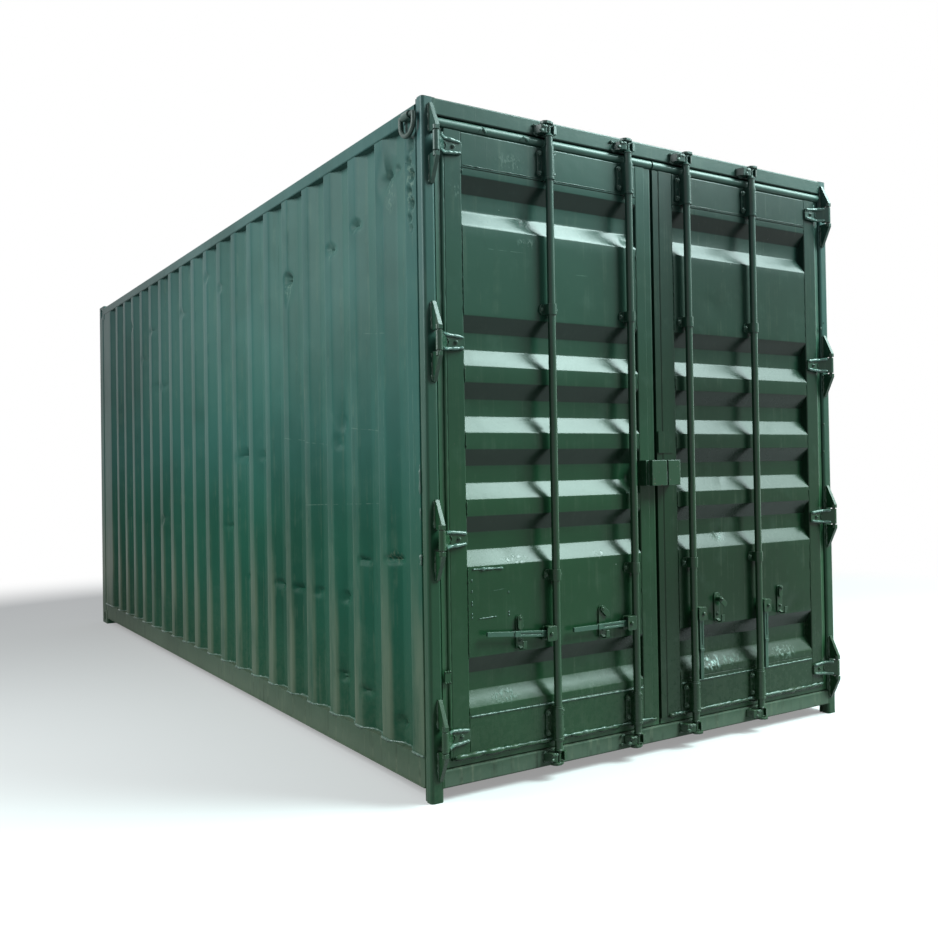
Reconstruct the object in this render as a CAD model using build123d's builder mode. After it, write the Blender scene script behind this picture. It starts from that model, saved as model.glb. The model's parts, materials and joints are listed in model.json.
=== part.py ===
"""Steel storage container with two hinged cargo doors, millimetres, Z up.

The door end faces -Y and the viewer's right is +X. The origin is on the ground
below the middle of the bounding box. FRONT is the plane of the door end: the
front faces of the door posts, the header, the sill and both closed doors.
"""

import os

from build123d import *

os.makedirs("parts", exist_ok=True)

# Overall size of the container.
WIDTH = 2438.0
LENGTH = 6058.0
HEIGHT = 2810.0
HALF_WIDTH = WIDTH / 2

# Gap kept between pieces that move past each other, and at pins and rods.
CLEAR = 5.0
PIN_CLEAR = 0.5
ROD_CLEAR = 1.0

# Lock box on the two doors; the right half stands out furthest of all.
BOX_DEPTH = 73.0
FRONT = (BOX_DEPTH - LENGTH) / 2
REAR = FRONT + LENGTH

# Door end frame: folded posts on feet, header and sill.
POST_FACE = 58.0
POST_DEPTH = 50.0
POST_WALL = 5.0
POST_BEND = 9.0
POST_INNER = HALF_WIDTH - POST_FACE
STOP_THICK = 6.0
STOP_LAP = 22.0
FOOT_HEIGHT = 52.0
HEADER_HEIGHT = 70.0
HEADER_WALL = 4.0
FOLD = 3.0
SILL_HEIGHT = 71.0
SILL_BOTTOM = FOOT_HEIGHT
SILL_TOP = SILL_BOTTOM + SILL_HEIGHT
HEADER_BOTTOM = HEIGHT - HEADER_HEIGHT

# Side rails, floor and cross members.
TOP_RAIL = 60.0
TOP_RAIL_WALL = 4.0
TOP_RAIL_DROP = 18.0
TOP_RAIL_TOP = HEIGHT - TOP_RAIL_DROP
TOP_RAIL_BOTTOM = TOP_RAIL_TOP - TOP_RAIL
RAIL_BOTTOM = 50.0
RAIL_TOP = 172.0
RAIL_WEB = 5.0
RAIL_FLANGE = 45.0
RAIL_LIP = 9.0
BOARD_THICK = 28.0
BOARD_COUNT = 5
BOARD_SEAM = 2.0
MEMBER_WALL = 4.0
MEMBER_FLANGE = 45.0
MEMBER_COUNT = 19
MEMBER_BOTTOM = RAIL_BOTTOM + RAIL_WEB

# Corner castings of the closed end.
CAST_LENGTH = 178.0
CAST_WIDTH = 162.0
CAST_HEIGHT = 118.0
CAST_WALL = 16.0
CAST_ROUND = 10.0
CAST_SIDE_SLOT = (51.0, 79.0)
CAST_TOP_SLOT = (63.0, 124.0)
REAR_POST_SIDE = 130.0
REAR_POST_END = 90.0
REAR_BEAM = 60.0

# Corrugated sheets.
SHEET = 2.0
WALL_INSET = 4.0
CREST = 72.0
SLOPE = 68.0
TROUGH = 70.0
WALL_DEEP = 36.0
WALL_FIRST = 158.7
WALL_LAST = 160.0
END_FLAT = 100.0
ROOF_RIB = 14.0
ROOF_RIB_WIDTH = 120.0
ROOF_PITCH = 209.0
ROOF_FLAT = 100.0
ROOF_TAPER = 40.0
ROOF_EDGE = 150.0
ROOF_LAP = 45.0

# Doors.
DOOR_DEPTH = 50.0
DOOR_WALL = 3.0
SEAL_WIDE = 39.0
SEAL_LOW = 30.0
SEAL_HIGH = 46.0
STILE_WIDTH = 84.0
LOW_RAIL = 169.0
HIGH_RAIL = 148.0
DOOR_BOTTOM = SILL_TOP + SEAL_LOW
DOOR_TOP = HEADER_BOTTOM - SEAL_HIGH
HINGE_EDGE = POST_INNER - SEAL_WIDE
FIELD_OUTER = HINGE_EDGE - STILE_WIDTH
FIELD_INNER = 115.0
LEFT_EDGE = -24.0
RIGHT_EDGE = -5.0
MEETING_STEP = 33.0
STEP_DEEP = 8.0
MEETING_PLAY = 4.0
TOP_RAIL_LOW = DOOR_TOP - HIGH_RAIL
BOTTOM_RAIL_HIGH = DOOR_BOTTOM + LOW_RAIL
PRESS_MIDDLE = (BOTTOM_RAIL_HIGH + TOP_RAIL_LOW) / 2
PRESS_PITCH = 273.0
PRESS_END = 131.0
PRESS_HEIGHT = 206.0
PRESS_SLOPE = 68.0
PRESS_DEEP = 38.0
SEAL_FRONT = 12.0
SEAL_BACK = 42.0
SEAL_ROUND = 19.0

# Hinges: a pin between two triangular lugs on the post, a blade on the door.
PIN_INSET = 40.0
PIN_X = HALF_WIDTH - PIN_INSET
PIN_OUT = 43.0
PIN_RADIUS = 8.0
KNUCKLE_RADIUS = 14.0
KNUCKLE_HALF = 39.0
HINGE_LOW = DOOR_BOTTOM + 95.0
HINGE_HIGH = DOOR_TOP - 72.0
HINGE_COUNT = 4
LUG_THICK = 17.0
LUG_FOOT = 8.0
LUG_REACH = 161.0
BLADE_THICK = 9.0
BLADE_REACH = 80.0
BLADE_HALF = 33.0
BLADE_TIP_HALF = 25.0

# Lock rods with their cams, brackets, hubs and handles.
ROD_SHARES = (0.5517, 0.1593)
ROD_X = [share * HINGE_EDGE for share in ROD_SHARES]
ROD_OUT = 30.0
ROD_RADIUS = 17.0
ROD_WALL = 4.0
CAM_HEAD = 65.0
CAM_INSET = 10.0
CAM_DROP = 13.0
CAM_RADIUS = 20.5
CAM_COLLAR = 8.0
CAM_CONE = 12.0
CAM_NECK = 9.0
HORN_THICK = 11.0
HORN_REACH = 38.0
KEEPER_SHORT = (36.0, 30.0)
KEEPER_LONG = (58.0, 76.0)
KEEPER_BITE = 18.0
KEEPER_RAMP = 14.0
KEEPER_PLATE = 5.0
KEEPER_EAR = 40.0
KEEPER_HEIGHT = CAM_HEAD - HORN_THICK - CAM_COLLAR - 2 * CLEAR
SLEEVE_RADIUS = 22.5
SLEEVE_HEIGHT = 144.0
SLEEVE_NECK = 8.0
SLEEVE_BAND = 10.0
SLEEVE_STEP = 2.0
SLEEVE_LOW = DOOR_BOTTOM + 12.0
SLEEVE_HIGH = DOOR_TOP - 1.0 - SLEEVE_HEIGHT
STRAP_HEIGHT = 46.0
STRAP_LEVELS = (PRESS_MIDDLE - 570.0, PRESS_MIDDLE + 560.0)
FLANGE_HALF = 46.0
FLANGE_HEIGHT = 112.0
FLANGE_ROUND = 18.0
FLANGE_THICK = 7.0
HUB_LEVEL = DOOR_BOTTOM + 467.0
HUB_HALF = 31.0
HUB_LENGTH = 63.0
HUB_PLATE = 6.0
HUB_SPAN = 30.0
HUB_ROUND = 9.0
PIVOT = 42.0
HANDLE_THICK = 12.0
HANDLE_LENGTH = 310.0
HANDLE_EYE = 16.0
HANDLE_ARM = 13.0
HANDLE_WAIST = 11.5
HANDLE_GRIP = 9.5
HANDLE_SWELL = 4.0
HANDLE_ROUND = 3.0
HANDLE_LIES = (5.0, 0.0, -90.0)
GROOVE_RUN = (38.0, 150.0)
GROOVE_HALF = 4.0
GROOVE_DEEP = 3.0
GRIP_START = 165.0
RETAINER_AT = 175.0
RETAINER_WIDTH = 36.0
RETAINER_PLATE = 6.0
RETAINER_HALF = 70.0
FLAP_LENGTH = 60.0
FLAP_WIDTH = 25.0
FLAP_TILT = -44.0
FLAP_OUT = 34.0

# Lock box.
BOX_LEFT = -118.0
BOX_STEP = -103.0
BOX_RIGHT = 67.0
BOX_LOW = PRESS_MIDDLE - 204.0
BOX_HIGH = BOX_LOW + 115.0
BOX_WALL = 4.0
BOX_SHELF = 49.0
PATCH_SIZE = (90.0, 102.0)
PATCH_CENTRE = (45.0, BOX_HIGH + 84.0)
PATCH_THICK = 3.0

# Lifting lugs and rings near the door end.
RING_BAR = 10.0
RING_OUT = 19.0
RING_LEVEL = HEIGHT - 64.0
RING_AT = 88.0
RING_HALF = 55.0
RING_LEG = 25.0
LUG_HALF = 26.0
LUG_WALL = 6.0

STOP_BACK = FRONT + DOOR_DEPTH + CLEAR + STOP_THICK
SIDES = (-1, 1)
HINGE_PITCH = (HINGE_HIGH - HINGE_LOW) / (HINGE_COUNT - 1)
HINGE_LEVELS = [HINGE_LOW + i * HINGE_PITCH for i in range(HINGE_COUNT)]
ROD_LOW = SILL_BOTTOM + CAM_INSET
ROD_HIGH = HEIGHT - CAM_DROP


def block(x_range, y_range, z_range, mode=Mode.ADD):
    """Add a box between the given limits."""
    middle = [(low + high) / 2 for low, high in (x_range, y_range, z_range)]
    size = [abs(high - low) for low, high in (x_range, y_range, z_range)]
    with Locations(tuple(middle)):
        Box(*size, mode=mode)


def tube_along_z(x_range, y_range, z_range, wall, bend=FOLD):
    """Add an upright rectangular tube with folded corners, open at both ends."""
    wide = abs(x_range[1] - x_range[0])
    deep = abs(y_range[1] - y_range[0])
    with BuildSketch(Plane.XY.offset(z_range[0])) as profile:
        with Locations((sum(x_range) / 2, sum(y_range) / 2)):
            RectangleRounded(wide, deep, bend + wall)
            RectangleRounded(wide - 2 * wall, deep - 2 * wall, bend, mode=Mode.SUBTRACT)
    extrude(profile.sketch, amount=z_range[1] - z_range[0])


def tube_along_x(x_range, y_range, z_range, wall, bend=FOLD):
    """Add a crosswise rectangular tube with folded corners, open at both ends."""
    deep = abs(y_range[1] - y_range[0])
    high = abs(z_range[1] - z_range[0])
    with BuildSketch(Plane.YZ.offset(x_range[0])) as profile:
        with Locations((sum(y_range) / 2, sum(z_range) / 2)):
            RectangleRounded(deep, high, bend + wall)
            RectangleRounded(deep - 2 * wall, high - 2 * wall, bend, mode=Mode.SUBTRACT)
    extrude(profile.sketch, amount=x_range[1] - x_range[0])


def corrugation(start, count, lead, tail):
    """Points along a sheet of trapezoid troughs, as (distance, depth) pairs."""
    points = [(start - lead, 0.0)]
    place = start
    for _ in range(count):
        points.append((place, 0.0))
        points.append((place + SLOPE, WALL_DEEP))
        points.append((place + SLOPE + TROUGH, WALL_DEEP))
        points.append((place + 2 * SLOPE + TROUGH, 0.0))
        place += 2 * SLOPE + TROUGH + CREST
    points.append((place - CREST + tail, 0.0))
    return points


def sheet_outline(points, thick):
    """Close a run of points into a sheet outline by adding its back edge."""
    back = [(a, b + thick) for a, b in reversed(points)]
    return points + back


def save(part, name):
    """Name one finished sub-part and write its STEP file."""
    part.label = name
    export_step(part, f"parts/{name}.step")


# Door end frame.
with BuildPart() as corner_post_left:
    tube_along_z(
        (-HALF_WIDTH, -POST_INNER), (FRONT, FRONT + POST_DEPTH), (0, HEIGHT), POST_WALL, POST_BEND
    )
    for low in (0, HEIGHT - POST_WALL):
        block(
            (-HALF_WIDTH + POST_WALL, -POST_INNER - POST_WALL),
            (FRONT + POST_WALL, FRONT + POST_DEPTH - POST_WALL),
            (low, low + POST_WALL),
        )
    block(
        (-HALF_WIDTH + WALL_INSET + SHEET, -POST_INNER),
        (FRONT + POST_DEPTH, STOP_BACK),
        (0, HEIGHT),
    )
    block(
        (-POST_INNER, -HINGE_EDGE + STOP_LAP),
        (STOP_BACK - STOP_THICK, STOP_BACK),
        (SILL_BOTTOM, HEIGHT),
    )
save(corner_post_left.part, "corner_post_left")

with BuildPart() as corner_post_right:
    mirror(corner_post_left.part, about=Plane.YZ)
save(corner_post_right.part, "corner_post_right")

with BuildPart() as door_header:
    tube_along_x(
        (-POST_INNER, POST_INNER),
        (FRONT, STOP_BACK - STOP_THICK),
        (HEADER_BOTTOM, HEIGHT),
        HEADER_WALL,
    )
    block(
        (-HINGE_EDGE + STOP_LAP, HINGE_EDGE - STOP_LAP),
        (STOP_BACK - STOP_THICK, STOP_BACK),
        (DOOR_TOP - STOP_LAP, HEIGHT),
    )
save(door_header.part, "door_header")

with BuildPart() as door_sill:
    tube_along_x(
        (-POST_INNER, POST_INNER),
        (FRONT, STOP_BACK - STOP_THICK),
        (SILL_BOTTOM, SILL_TOP),
        HEADER_WALL,
    )
    block(
        (-HINGE_EDGE + STOP_LAP, HINGE_EDGE - STOP_LAP),
        (STOP_BACK - STOP_THICK, STOP_BACK),
        (SILL_BOTTOM, RAIL_TOP),
    )
save(door_sill.part, "door_sill")

# Side rails run from the door posts to the closed end.
with BuildPart() as top_side_rails:
    for side in SIDES:
        with BuildSketch(Plane.XZ.offset(-STOP_BACK)):
            with Locations((side * (HALF_WIDTH - TOP_RAIL / 2), TOP_RAIL_TOP - TOP_RAIL / 2)):
                RectangleRounded(TOP_RAIL, TOP_RAIL, FOLD + TOP_RAIL_WALL)
                bore = TOP_RAIL - 2 * TOP_RAIL_WALL
                RectangleRounded(bore, bore, FOLD, mode=Mode.SUBTRACT)
        extrude(amount=-(REAR - CAST_LENGTH - STOP_BACK))
save(top_side_rails.part, "top_side_rails")

with BuildPart() as bottom_side_rails:
    web_out = HALF_WIDTH - WALL_INSET
    web_in = web_out - RAIL_WEB
    with BuildSketch(Plane.XZ.offset(-STOP_BACK)):
        with BuildLine():
            Polyline(
                (HALF_WIDTH, RAIL_BOTTOM),
                (HALF_WIDTH, RAIL_BOTTOM + RAIL_WEB),
                (web_out, RAIL_BOTTOM + RAIL_WEB),
                (web_out, RAIL_TOP),
                (web_out - RAIL_FLANGE, RAIL_TOP),
                (web_out - RAIL_FLANGE, RAIL_TOP - RAIL_WEB),
                (web_in, RAIL_TOP - RAIL_WEB),
                (web_in, RAIL_BOTTOM + RAIL_WEB),
                (web_out - RAIL_FLANGE, RAIL_BOTTOM + RAIL_WEB),
                (web_out - RAIL_FLANGE, RAIL_BOTTOM),
                close=True,
            )
        make_face()
    extrude(amount=-(REAR - CAST_LENGTH - STOP_BACK))
    mirror(about=Plane.YZ)
save(bottom_side_rails.part, "bottom_side_rails")

# Closed end frame.
with BuildPart() as rear_posts:
    for side in SIDES:
        tube_along_z(
            (side * HALF_WIDTH, side * (HALF_WIDTH - REAR_POST_END)),
            (REAR - REAR_POST_SIDE, REAR),
            (CAST_HEIGHT, HEIGHT - CAST_HEIGHT),
            POST_WALL,
        )
        block(
            (side * web_in, side * web_out),
            (REAR - CAST_LENGTH, REAR - REAR_POST_SIDE),
            (CAST_HEIGHT, RAIL_TOP),
        )
save(rear_posts.part, "rear_posts")

with BuildPart() as rear_header:
    tube_along_x(
        (-HALF_WIDTH + CAST_WIDTH, HALF_WIDTH - CAST_WIDTH),
        (REAR - REAR_BEAM, REAR),
        (HEIGHT - REAR_BEAM, HEIGHT),
        HEADER_WALL,
    )
save(rear_header.part, "rear_header")

with BuildPart() as rear_sill:
    tube_along_x(
        (-HALF_WIDTH + CAST_WIDTH, HALF_WIDTH - CAST_WIDTH),
        (REAR - REAR_BEAM, REAR),
        (RAIL_BOTTOM, RAIL_TOP),
        HEADER_WALL,
    )
    for side in SIDES:
        block(
            (side * (HALF_WIDTH - CAST_WIDTH), side * (HALF_WIDTH - REAR_POST_END)),
            (REAR - REAR_BEAM, REAR),
            (CAST_HEIGHT, RAIL_TOP),
        )
save(rear_sill.part, "rear_sill")

with BuildPart() as corner_castings:
    for side in SIDES:
        for low in (0, HEIGHT - CAST_HEIGHT):
            x_mid = side * (HALF_WIDTH - CAST_WIDTH / 2)
            y_mid = REAR - CAST_LENGTH / 2
            z_mid = low + CAST_HEIGHT / 2
            with BuildSketch(Plane.XY.offset(low)):
                with Locations((x_mid, y_mid)):
                    RectangleRounded(CAST_WIDTH, CAST_LENGTH, CAST_ROUND)
            extrude(amount=CAST_HEIGHT)
            with Locations((x_mid, y_mid, z_mid)):
                Box(
                    CAST_WIDTH - 2 * CAST_WALL,
                    CAST_LENGTH - 2 * CAST_WALL,
                    CAST_HEIGHT - 2 * CAST_WALL,
                    mode=Mode.SUBTRACT,
                )
            with BuildSketch(Plane.YZ.offset(side * HALF_WIDTH)):
                with Locations((y_mid, z_mid)):
                    SlotOverall(CAST_SIDE_SLOT[1], CAST_SIDE_SLOT[0], rotation=90)
            extrude(amount=-side * CAST_WALL, mode=Mode.SUBTRACT)
            with BuildSketch(Plane.XZ.offset(-REAR)):
                with Locations((x_mid, z_mid)):
                    SlotOverall(CAST_SIDE_SLOT[1], CAST_SIDE_SLOT[0], rotation=90)
            extrude(amount=CAST_WALL, mode=Mode.SUBTRACT)
            outer_level = HEIGHT if low else 0
            inward = -CAST_WALL if low else CAST_WALL
            with BuildSketch(Plane.XY.offset(outer_level)):
                with Locations((x_mid, y_mid)):
                    SlotOverall(CAST_TOP_SLOT[1], CAST_TOP_SLOT[0], rotation=90)
            extrude(amount=inward, mode=Mode.SUBTRACT)
save(corner_castings.part, "corner_castings")

# Corrugated skin.
wave = 2 * SLOPE + TROUGH + CREST
wall_run = REAR - REAR_POST_SIDE - FRONT
wall_count = int((wall_run - WALL_FIRST - WALL_LAST + CREST) // wave)
wall_used = WALL_FIRST + wall_count * wave - CREST

with BuildPart() as side_wall_left:
    wall_points = corrugation(
        FRONT + WALL_FIRST, wall_count, FRONT + WALL_FIRST - STOP_BACK, wall_run - wall_used
    )
    wall_face = -HALF_WIDTH + WALL_INSET
    outline = [(wall_face + b, a) for a, b in sheet_outline(wall_points, SHEET)]
    with BuildSketch(Plane.XY.offset(RAIL_TOP)):
        with BuildLine():
            Polyline(*outline, close=True)
        make_face()
    extrude(amount=TOP_RAIL_BOTTOM - RAIL_TOP)
    block(
        (-HALF_WIDTH, -HALF_WIDTH + CAST_WIDTH),
        (REAR - CAST_LENGTH, REAR),
        (HEIGHT - CAST_HEIGHT, HEIGHT),
        mode=Mode.SUBTRACT,
    )
save(side_wall_left.part, "side_wall_left")

with BuildPart() as side_wall_right:
    mirror(side_wall_left.part, about=Plane.YZ)
save(side_wall_right.part, "side_wall_right")

with BuildPart() as end_wall:
    end_half = HALF_WIDTH - REAR_POST_END
    end_count = int((2 * (end_half - END_FLAT) + CREST) // wave)
    end_used = end_count * wave - CREST
    end_lead = end_half - end_used / 2
    end_points = corrugation(-end_used / 2, end_count, end_lead, end_lead)
    outline = [(a, REAR - WALL_INSET - b) for a, b in sheet_outline(end_points, SHEET)]
    with BuildSketch(Plane.XY.offset(RAIL_TOP)):
        with BuildLine():
            Polyline(*outline, close=True)
        make_face()
    extrude(amount=HEIGHT - REAR_BEAM - RAIL_TOP)
    for side in SIDES:
        block(
            (side * HALF_WIDTH, side * (HALF_WIDTH - CAST_WIDTH)),
            (REAR - CAST_LENGTH, REAR),
            (HEIGHT - CAST_HEIGHT, HEIGHT),
            mode=Mode.SUBTRACT,
        )
save(end_wall.part, "end_wall")

with BuildPart() as roof_sheet:
    roof_start = STOP_BACK
    roof_end = REAR - REAR_BEAM
    roof_half = HALF_WIDTH - ROOF_LAP
    block((-roof_half, roof_half), (roof_start, roof_end), (TOP_RAIL_TOP, TOP_RAIL_TOP + SHEET))
    roof_middle = (roof_start + roof_end) / 2
    roof_count = int((roof_end - roof_start - 2 * ROOF_FLAT) // ROOF_PITCH)
    with BuildSketch(Plane.XY.offset(TOP_RAIL_TOP + SHEET)):
        with Locations((0, roof_middle)):
            with GridLocations(0, ROOF_PITCH, 1, roof_count):
                Rectangle(2 * (HALF_WIDTH - ROOF_EDGE), ROOF_RIB_WIDTH)
    extrude(amount=ROOF_RIB, taper=ROOF_TAPER)
    with BuildSketch(Plane.XY.offset(TOP_RAIL_TOP)):
        with Locations((0, roof_middle)):
            with GridLocations(0, ROOF_PITCH, 1, roof_count):
                Rectangle(2 * (HALF_WIDTH - ROOF_EDGE), ROOF_RIB_WIDTH)
    extrude(amount=ROOF_RIB, taper=ROOF_TAPER, mode=Mode.SUBTRACT)
    for side in SIDES:
        block(
            (side * HALF_WIDTH, side * (HALF_WIDTH - CAST_WIDTH)),
            (REAR - CAST_LENGTH, REAR),
            (HEIGHT - CAST_HEIGHT, HEIGHT),
            mode=Mode.SUBTRACT,
        )
save(roof_sheet.part, "roof_sheet")

# Floor.
with BuildPart() as cross_members:
    member_run = REAR - CAST_LENGTH - STOP_BACK - MEMBER_FLANGE
    member_pitch = member_run / (MEMBER_COUNT - 1)
    member_top = RAIL_TOP - BOARD_THICK
    for i in range(MEMBER_COUNT):
        web = STOP_BACK + i * member_pitch
        reach = (web, web + MEMBER_FLANGE)
        across = (-HALF_WIDTH + WALL_INSET + RAIL_WEB, HALF_WIDTH - WALL_INSET - RAIL_WEB)
        block(across, reach, (MEMBER_BOTTOM, member_top))
        block(
            across,
            (web + MEMBER_WALL, web + MEMBER_FLANGE),
            (MEMBER_BOTTOM + MEMBER_WALL, member_top - MEMBER_WALL),
            mode=Mode.SUBTRACT,
        )
save(cross_members.part, "cross_members")

with BuildPart() as floor_boards:
    floor_run = REAR - REAR_BEAM - STOP_BACK
    board_step = floor_run / BOARD_COUNT
    board_half = HALF_WIDTH - WALL_INSET - RAIL_FLANGE
    for i in range(BOARD_COUNT):
        start = STOP_BACK + i * board_step
        block(
            (-board_half, board_half),
            (start, start + board_step - BOARD_SEAM),
            (RAIL_TOP - BOARD_THICK, RAIL_TOP),
        )
    for side in SIDES:
        block(
            (side * HALF_WIDTH, side * (HALF_WIDTH - REAR_POST_END)),
            (REAR - REAR_POST_SIDE, REAR),
            (RAIL_BOTTOM, RAIL_TOP),
            mode=Mode.SUBTRACT,
        )
save(floor_boards.part, "floor_boards")

# Cam keepers: a long ear and a short ear on a plate, with a round bite for the cam's neck.
with BuildPart() as cam_keepers:
    horn_room = HORN_THICK + CLEAR
    keeper_lows = (ROD_LOW + horn_room, ROD_HIGH - horn_room - KEEPER_HEIGHT)
    ear_top = FRONT - KEEPER_EAR - KEEPER_PLATE
    for side, short, long in zip(SIDES, KEEPER_SHORT, KEEPER_LONG):
        for rod_x in ROD_X:
            x = side * rod_x
            for low in keeper_lows:
                with BuildSketch(Plane.XY.offset(low)):
                    with BuildLine():
                        Polyline(
                            (x - long, FRONT),
                            (x - long, FRONT - KEEPER_PLATE),
                            (x - long + KEEPER_RAMP, FRONT - KEEPER_EAR),
                            (x - KEEPER_BITE - KEEPER_PLATE, ear_top),
                            (x + KEEPER_BITE, ear_top),
                            (x + short, FRONT - KEEPER_EAR),
                            (x + short, FRONT),
                            close=True,
                        )
                    make_face()
                    with Locations((x, FRONT - ROD_OUT)):
                        Circle(KEEPER_BITE, mode=Mode.SUBTRACT)
                    with Locations((x, FRONT - ROD_OUT - KEEPER_EAR / 2)):
                        Rectangle(2 * KEEPER_BITE, KEEPER_EAR, mode=Mode.SUBTRACT)
                extrude(amount=KEEPER_HEIGHT)
save(cam_keepers.part, "cam_keepers")

# Hinge lugs: two triangular plates a hinge with a round boss that holds the pin.
with BuildPart() as hinge_lugs_left:
    for level in HINGE_LEVELS:
        for way in SIDES:
            near = level + way * (KNUCKLE_HALF + CLEAR)
            boss = near + way * LUG_THICK
            far = level + way * LUG_REACH
            with BuildSketch(Plane.YZ.offset(-PIN_X)):
                with BuildLine():
                    Polyline(
                        (FRONT, near),
                        (FRONT - PIN_OUT - KNUCKLE_RADIUS, near),
                        (FRONT - PIN_OUT - KNUCKLE_RADIUS, boss),
                        (FRONT - LUG_FOOT, far),
                        (FRONT, far),
                        close=True,
                    )
                make_face()
            extrude(amount=LUG_THICK / 2, both=True)
            with BuildSketch(Plane.XY.offset(near)):
                with Locations((-PIN_X, FRONT - PIN_OUT)):
                    Circle(KNUCKLE_RADIUS)
            extrude(amount=way * LUG_THICK)
        with BuildSketch(Plane.XY.offset(level)):
            with Locations((-PIN_X, FRONT - PIN_OUT)):
                Circle(PIN_RADIUS)
        extrude(amount=KNUCKLE_HALF + CLEAR + LUG_THICK, both=True)
save(hinge_lugs_left.part, "hinge_lugs_left")

with BuildPart() as hinge_lugs_right:
    mirror(hinge_lugs_left.part, about=Plane.YZ)
save(hinge_lugs_right.part, "hinge_lugs_right")

# Lifting lugs: a saddle of plate bent round each ring's straight bar.
with BuildPart() as lifting_lugs:
    bar_x = -HALF_WIDTH - RING_OUT
    saddle = RING_BAR + PIN_CLEAR + LUG_WALL
    with BuildSketch(Plane.XZ.offset(-(FRONT + RING_AT - LUG_HALF))):
        with Locations((bar_x, RING_LEVEL)):
            Circle(saddle)
        with Locations((bar_x + saddle / 2, RING_LEVEL + saddle - LUG_WALL / 2)):
            Rectangle(saddle + LUG_WALL, LUG_WALL)
        with Locations((bar_x + saddle / 2, RING_LEVEL - saddle + LUG_WALL / 2)):
            Rectangle(saddle + LUG_WALL, LUG_WALL)
        with Locations((-HALF_WIDTH + RING_OUT, RING_LEVEL)):
            Rectangle(2 * RING_OUT, 2 * RING_OUT + LUG_WALL * 2, mode=Mode.SUBTRACT)
        with Locations((bar_x, RING_LEVEL)):
            Circle(RING_BAR + PIN_CLEAR, mode=Mode.SUBTRACT)
    extrude(amount=-2 * LUG_HALF)
    mirror(about=Plane.YZ)
save(lifting_lugs.part, "lifting_lugs")

with BuildPart() as lifting_ring_left:
    ring_y = FRONT + RING_AT
    with BuildLine(Plane.YZ.offset(bar_x)) as ring_path:
        top_bar = Line((ring_y - RING_HALF, RING_LEVEL), (ring_y + RING_HALF, RING_LEVEL))
        far_leg = Line(top_bar @ 1, (ring_y + RING_HALF, RING_LEVEL - RING_LEG))
        bend = TangentArc(far_leg @ 1, (ring_y - RING_HALF, RING_LEVEL - RING_LEG), tangent=far_leg % 1)
        Line(bend @ 1, top_bar @ 0)
    with BuildSketch(Plane(origin=ring_path.wires()[0] @ 0, z_dir=ring_path.wires()[0] % 0)):
        Circle(RING_BAR)
    sweep(path=ring_path.wires()[0], transition=Transition.ROUND)
save(lifting_ring_left.part, "lifting_ring_left")

with BuildPart() as lifting_ring_right:
    mirror(lifting_ring_left.part, about=Plane.YZ)
save(lifting_ring_right.part, "lifting_ring_right")


# Doors. Both leaves share their hinge stile, rails, pressed panel and fittings.
def press_profile():
    """Front line of the pressed door panel, as (height, depth) pairs."""
    half = PRESS_HEIGHT / 2
    middles = [PRESS_MIDDLE + (i - 1.5) * PRESS_PITCH for i in range(4)]
    middles = [BOTTOM_RAIL_HIGH + PRESS_END] + middles + [TOP_RAIL_LOW - PRESS_END]
    points = [(BOTTOM_RAIL_HIGH, 0.0)]
    for middle in middles:
        points.append((middle - half, 0.0))
        points.append((middle - half + PRESS_SLOPE, PRESS_DEEP))
        points.append((middle + half - PRESS_SLOPE, PRESS_DEEP))
        points.append((middle + half, 0.0))
    points.append((TOP_RAIL_LOW, 0.0))
    return points


with BuildPart() as left_hinge_stile:
    tube_along_z(
        (-HINGE_EDGE, -FIELD_OUTER),
        (FRONT, FRONT + DOOR_DEPTH),
        (DOOR_BOTTOM, DOOR_TOP),
        DOOR_WALL,
    )
save(left_hinge_stile.part, "left_hinge_stile")

with BuildPart() as right_hinge_stile:
    mirror(left_hinge_stile.part, about=Plane.YZ)
save(right_hinge_stile.part, "right_hinge_stile")

with BuildPart() as left_lock_stile:
    tube_edge = LEFT_EDGE - MEETING_STEP
    tube_along_z(
        (-FIELD_INNER, tube_edge), (FRONT, FRONT + DOOR_DEPTH), (DOOR_BOTTOM, DOOR_TOP), DOOR_WALL
    )
    block(
        (tube_edge, LEFT_EDGE),
        (FRONT + STEP_DEEP, FRONT + STEP_DEEP + DOOR_WALL),
        (DOOR_BOTTOM, DOOR_TOP),
    )
    block(
        (LEFT_EDGE - DOOR_WALL, LEFT_EDGE),
        (FRONT + STEP_DEEP, FRONT + DOOR_DEPTH),
        (DOOR_BOTTOM, DOOR_TOP),
    )
save(left_lock_stile.part, "left_lock_stile")

with BuildPart() as right_lock_stile:
    tube_edge = RIGHT_EDGE + MEETING_STEP
    tube_along_z(
        (tube_edge, FIELD_INNER), (FRONT, FRONT + DOOR_DEPTH), (DOOR_BOTTOM, DOOR_TOP), DOOR_WALL
    )
    block(
        (RIGHT_EDGE, tube_edge + DOOR_WALL + FOLD),
        (FRONT + DOOR_WALL, FRONT + 2 * DOOR_WALL),
        (DOOR_BOTTOM, DOOR_TOP),
    )
    block(
        (RIGHT_EDGE, RIGHT_EDGE + DOOR_WALL),
        (FRONT + DOOR_WALL, FRONT + DOOR_DEPTH),
        (DOOR_BOTTOM, DOOR_TOP),
    )
    with Locations((PATCH_CENTRE[0], FRONT - PATCH_THICK / 2, PATCH_CENTRE[1])):
        Box(PATCH_SIZE[0], PATCH_THICK, PATCH_SIZE[1])
save(right_lock_stile.part, "right_lock_stile")

with BuildPart() as left_door_rails:
    for low, high in ((DOOR_BOTTOM, BOTTOM_RAIL_HIGH), (TOP_RAIL_LOW, DOOR_TOP)):
        tube_along_x(
            (-FIELD_OUTER, -FIELD_INNER), (FRONT, FRONT + DOOR_DEPTH), (low, high), DOOR_WALL
        )
save(left_door_rails.part, "left_door_rails")

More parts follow.
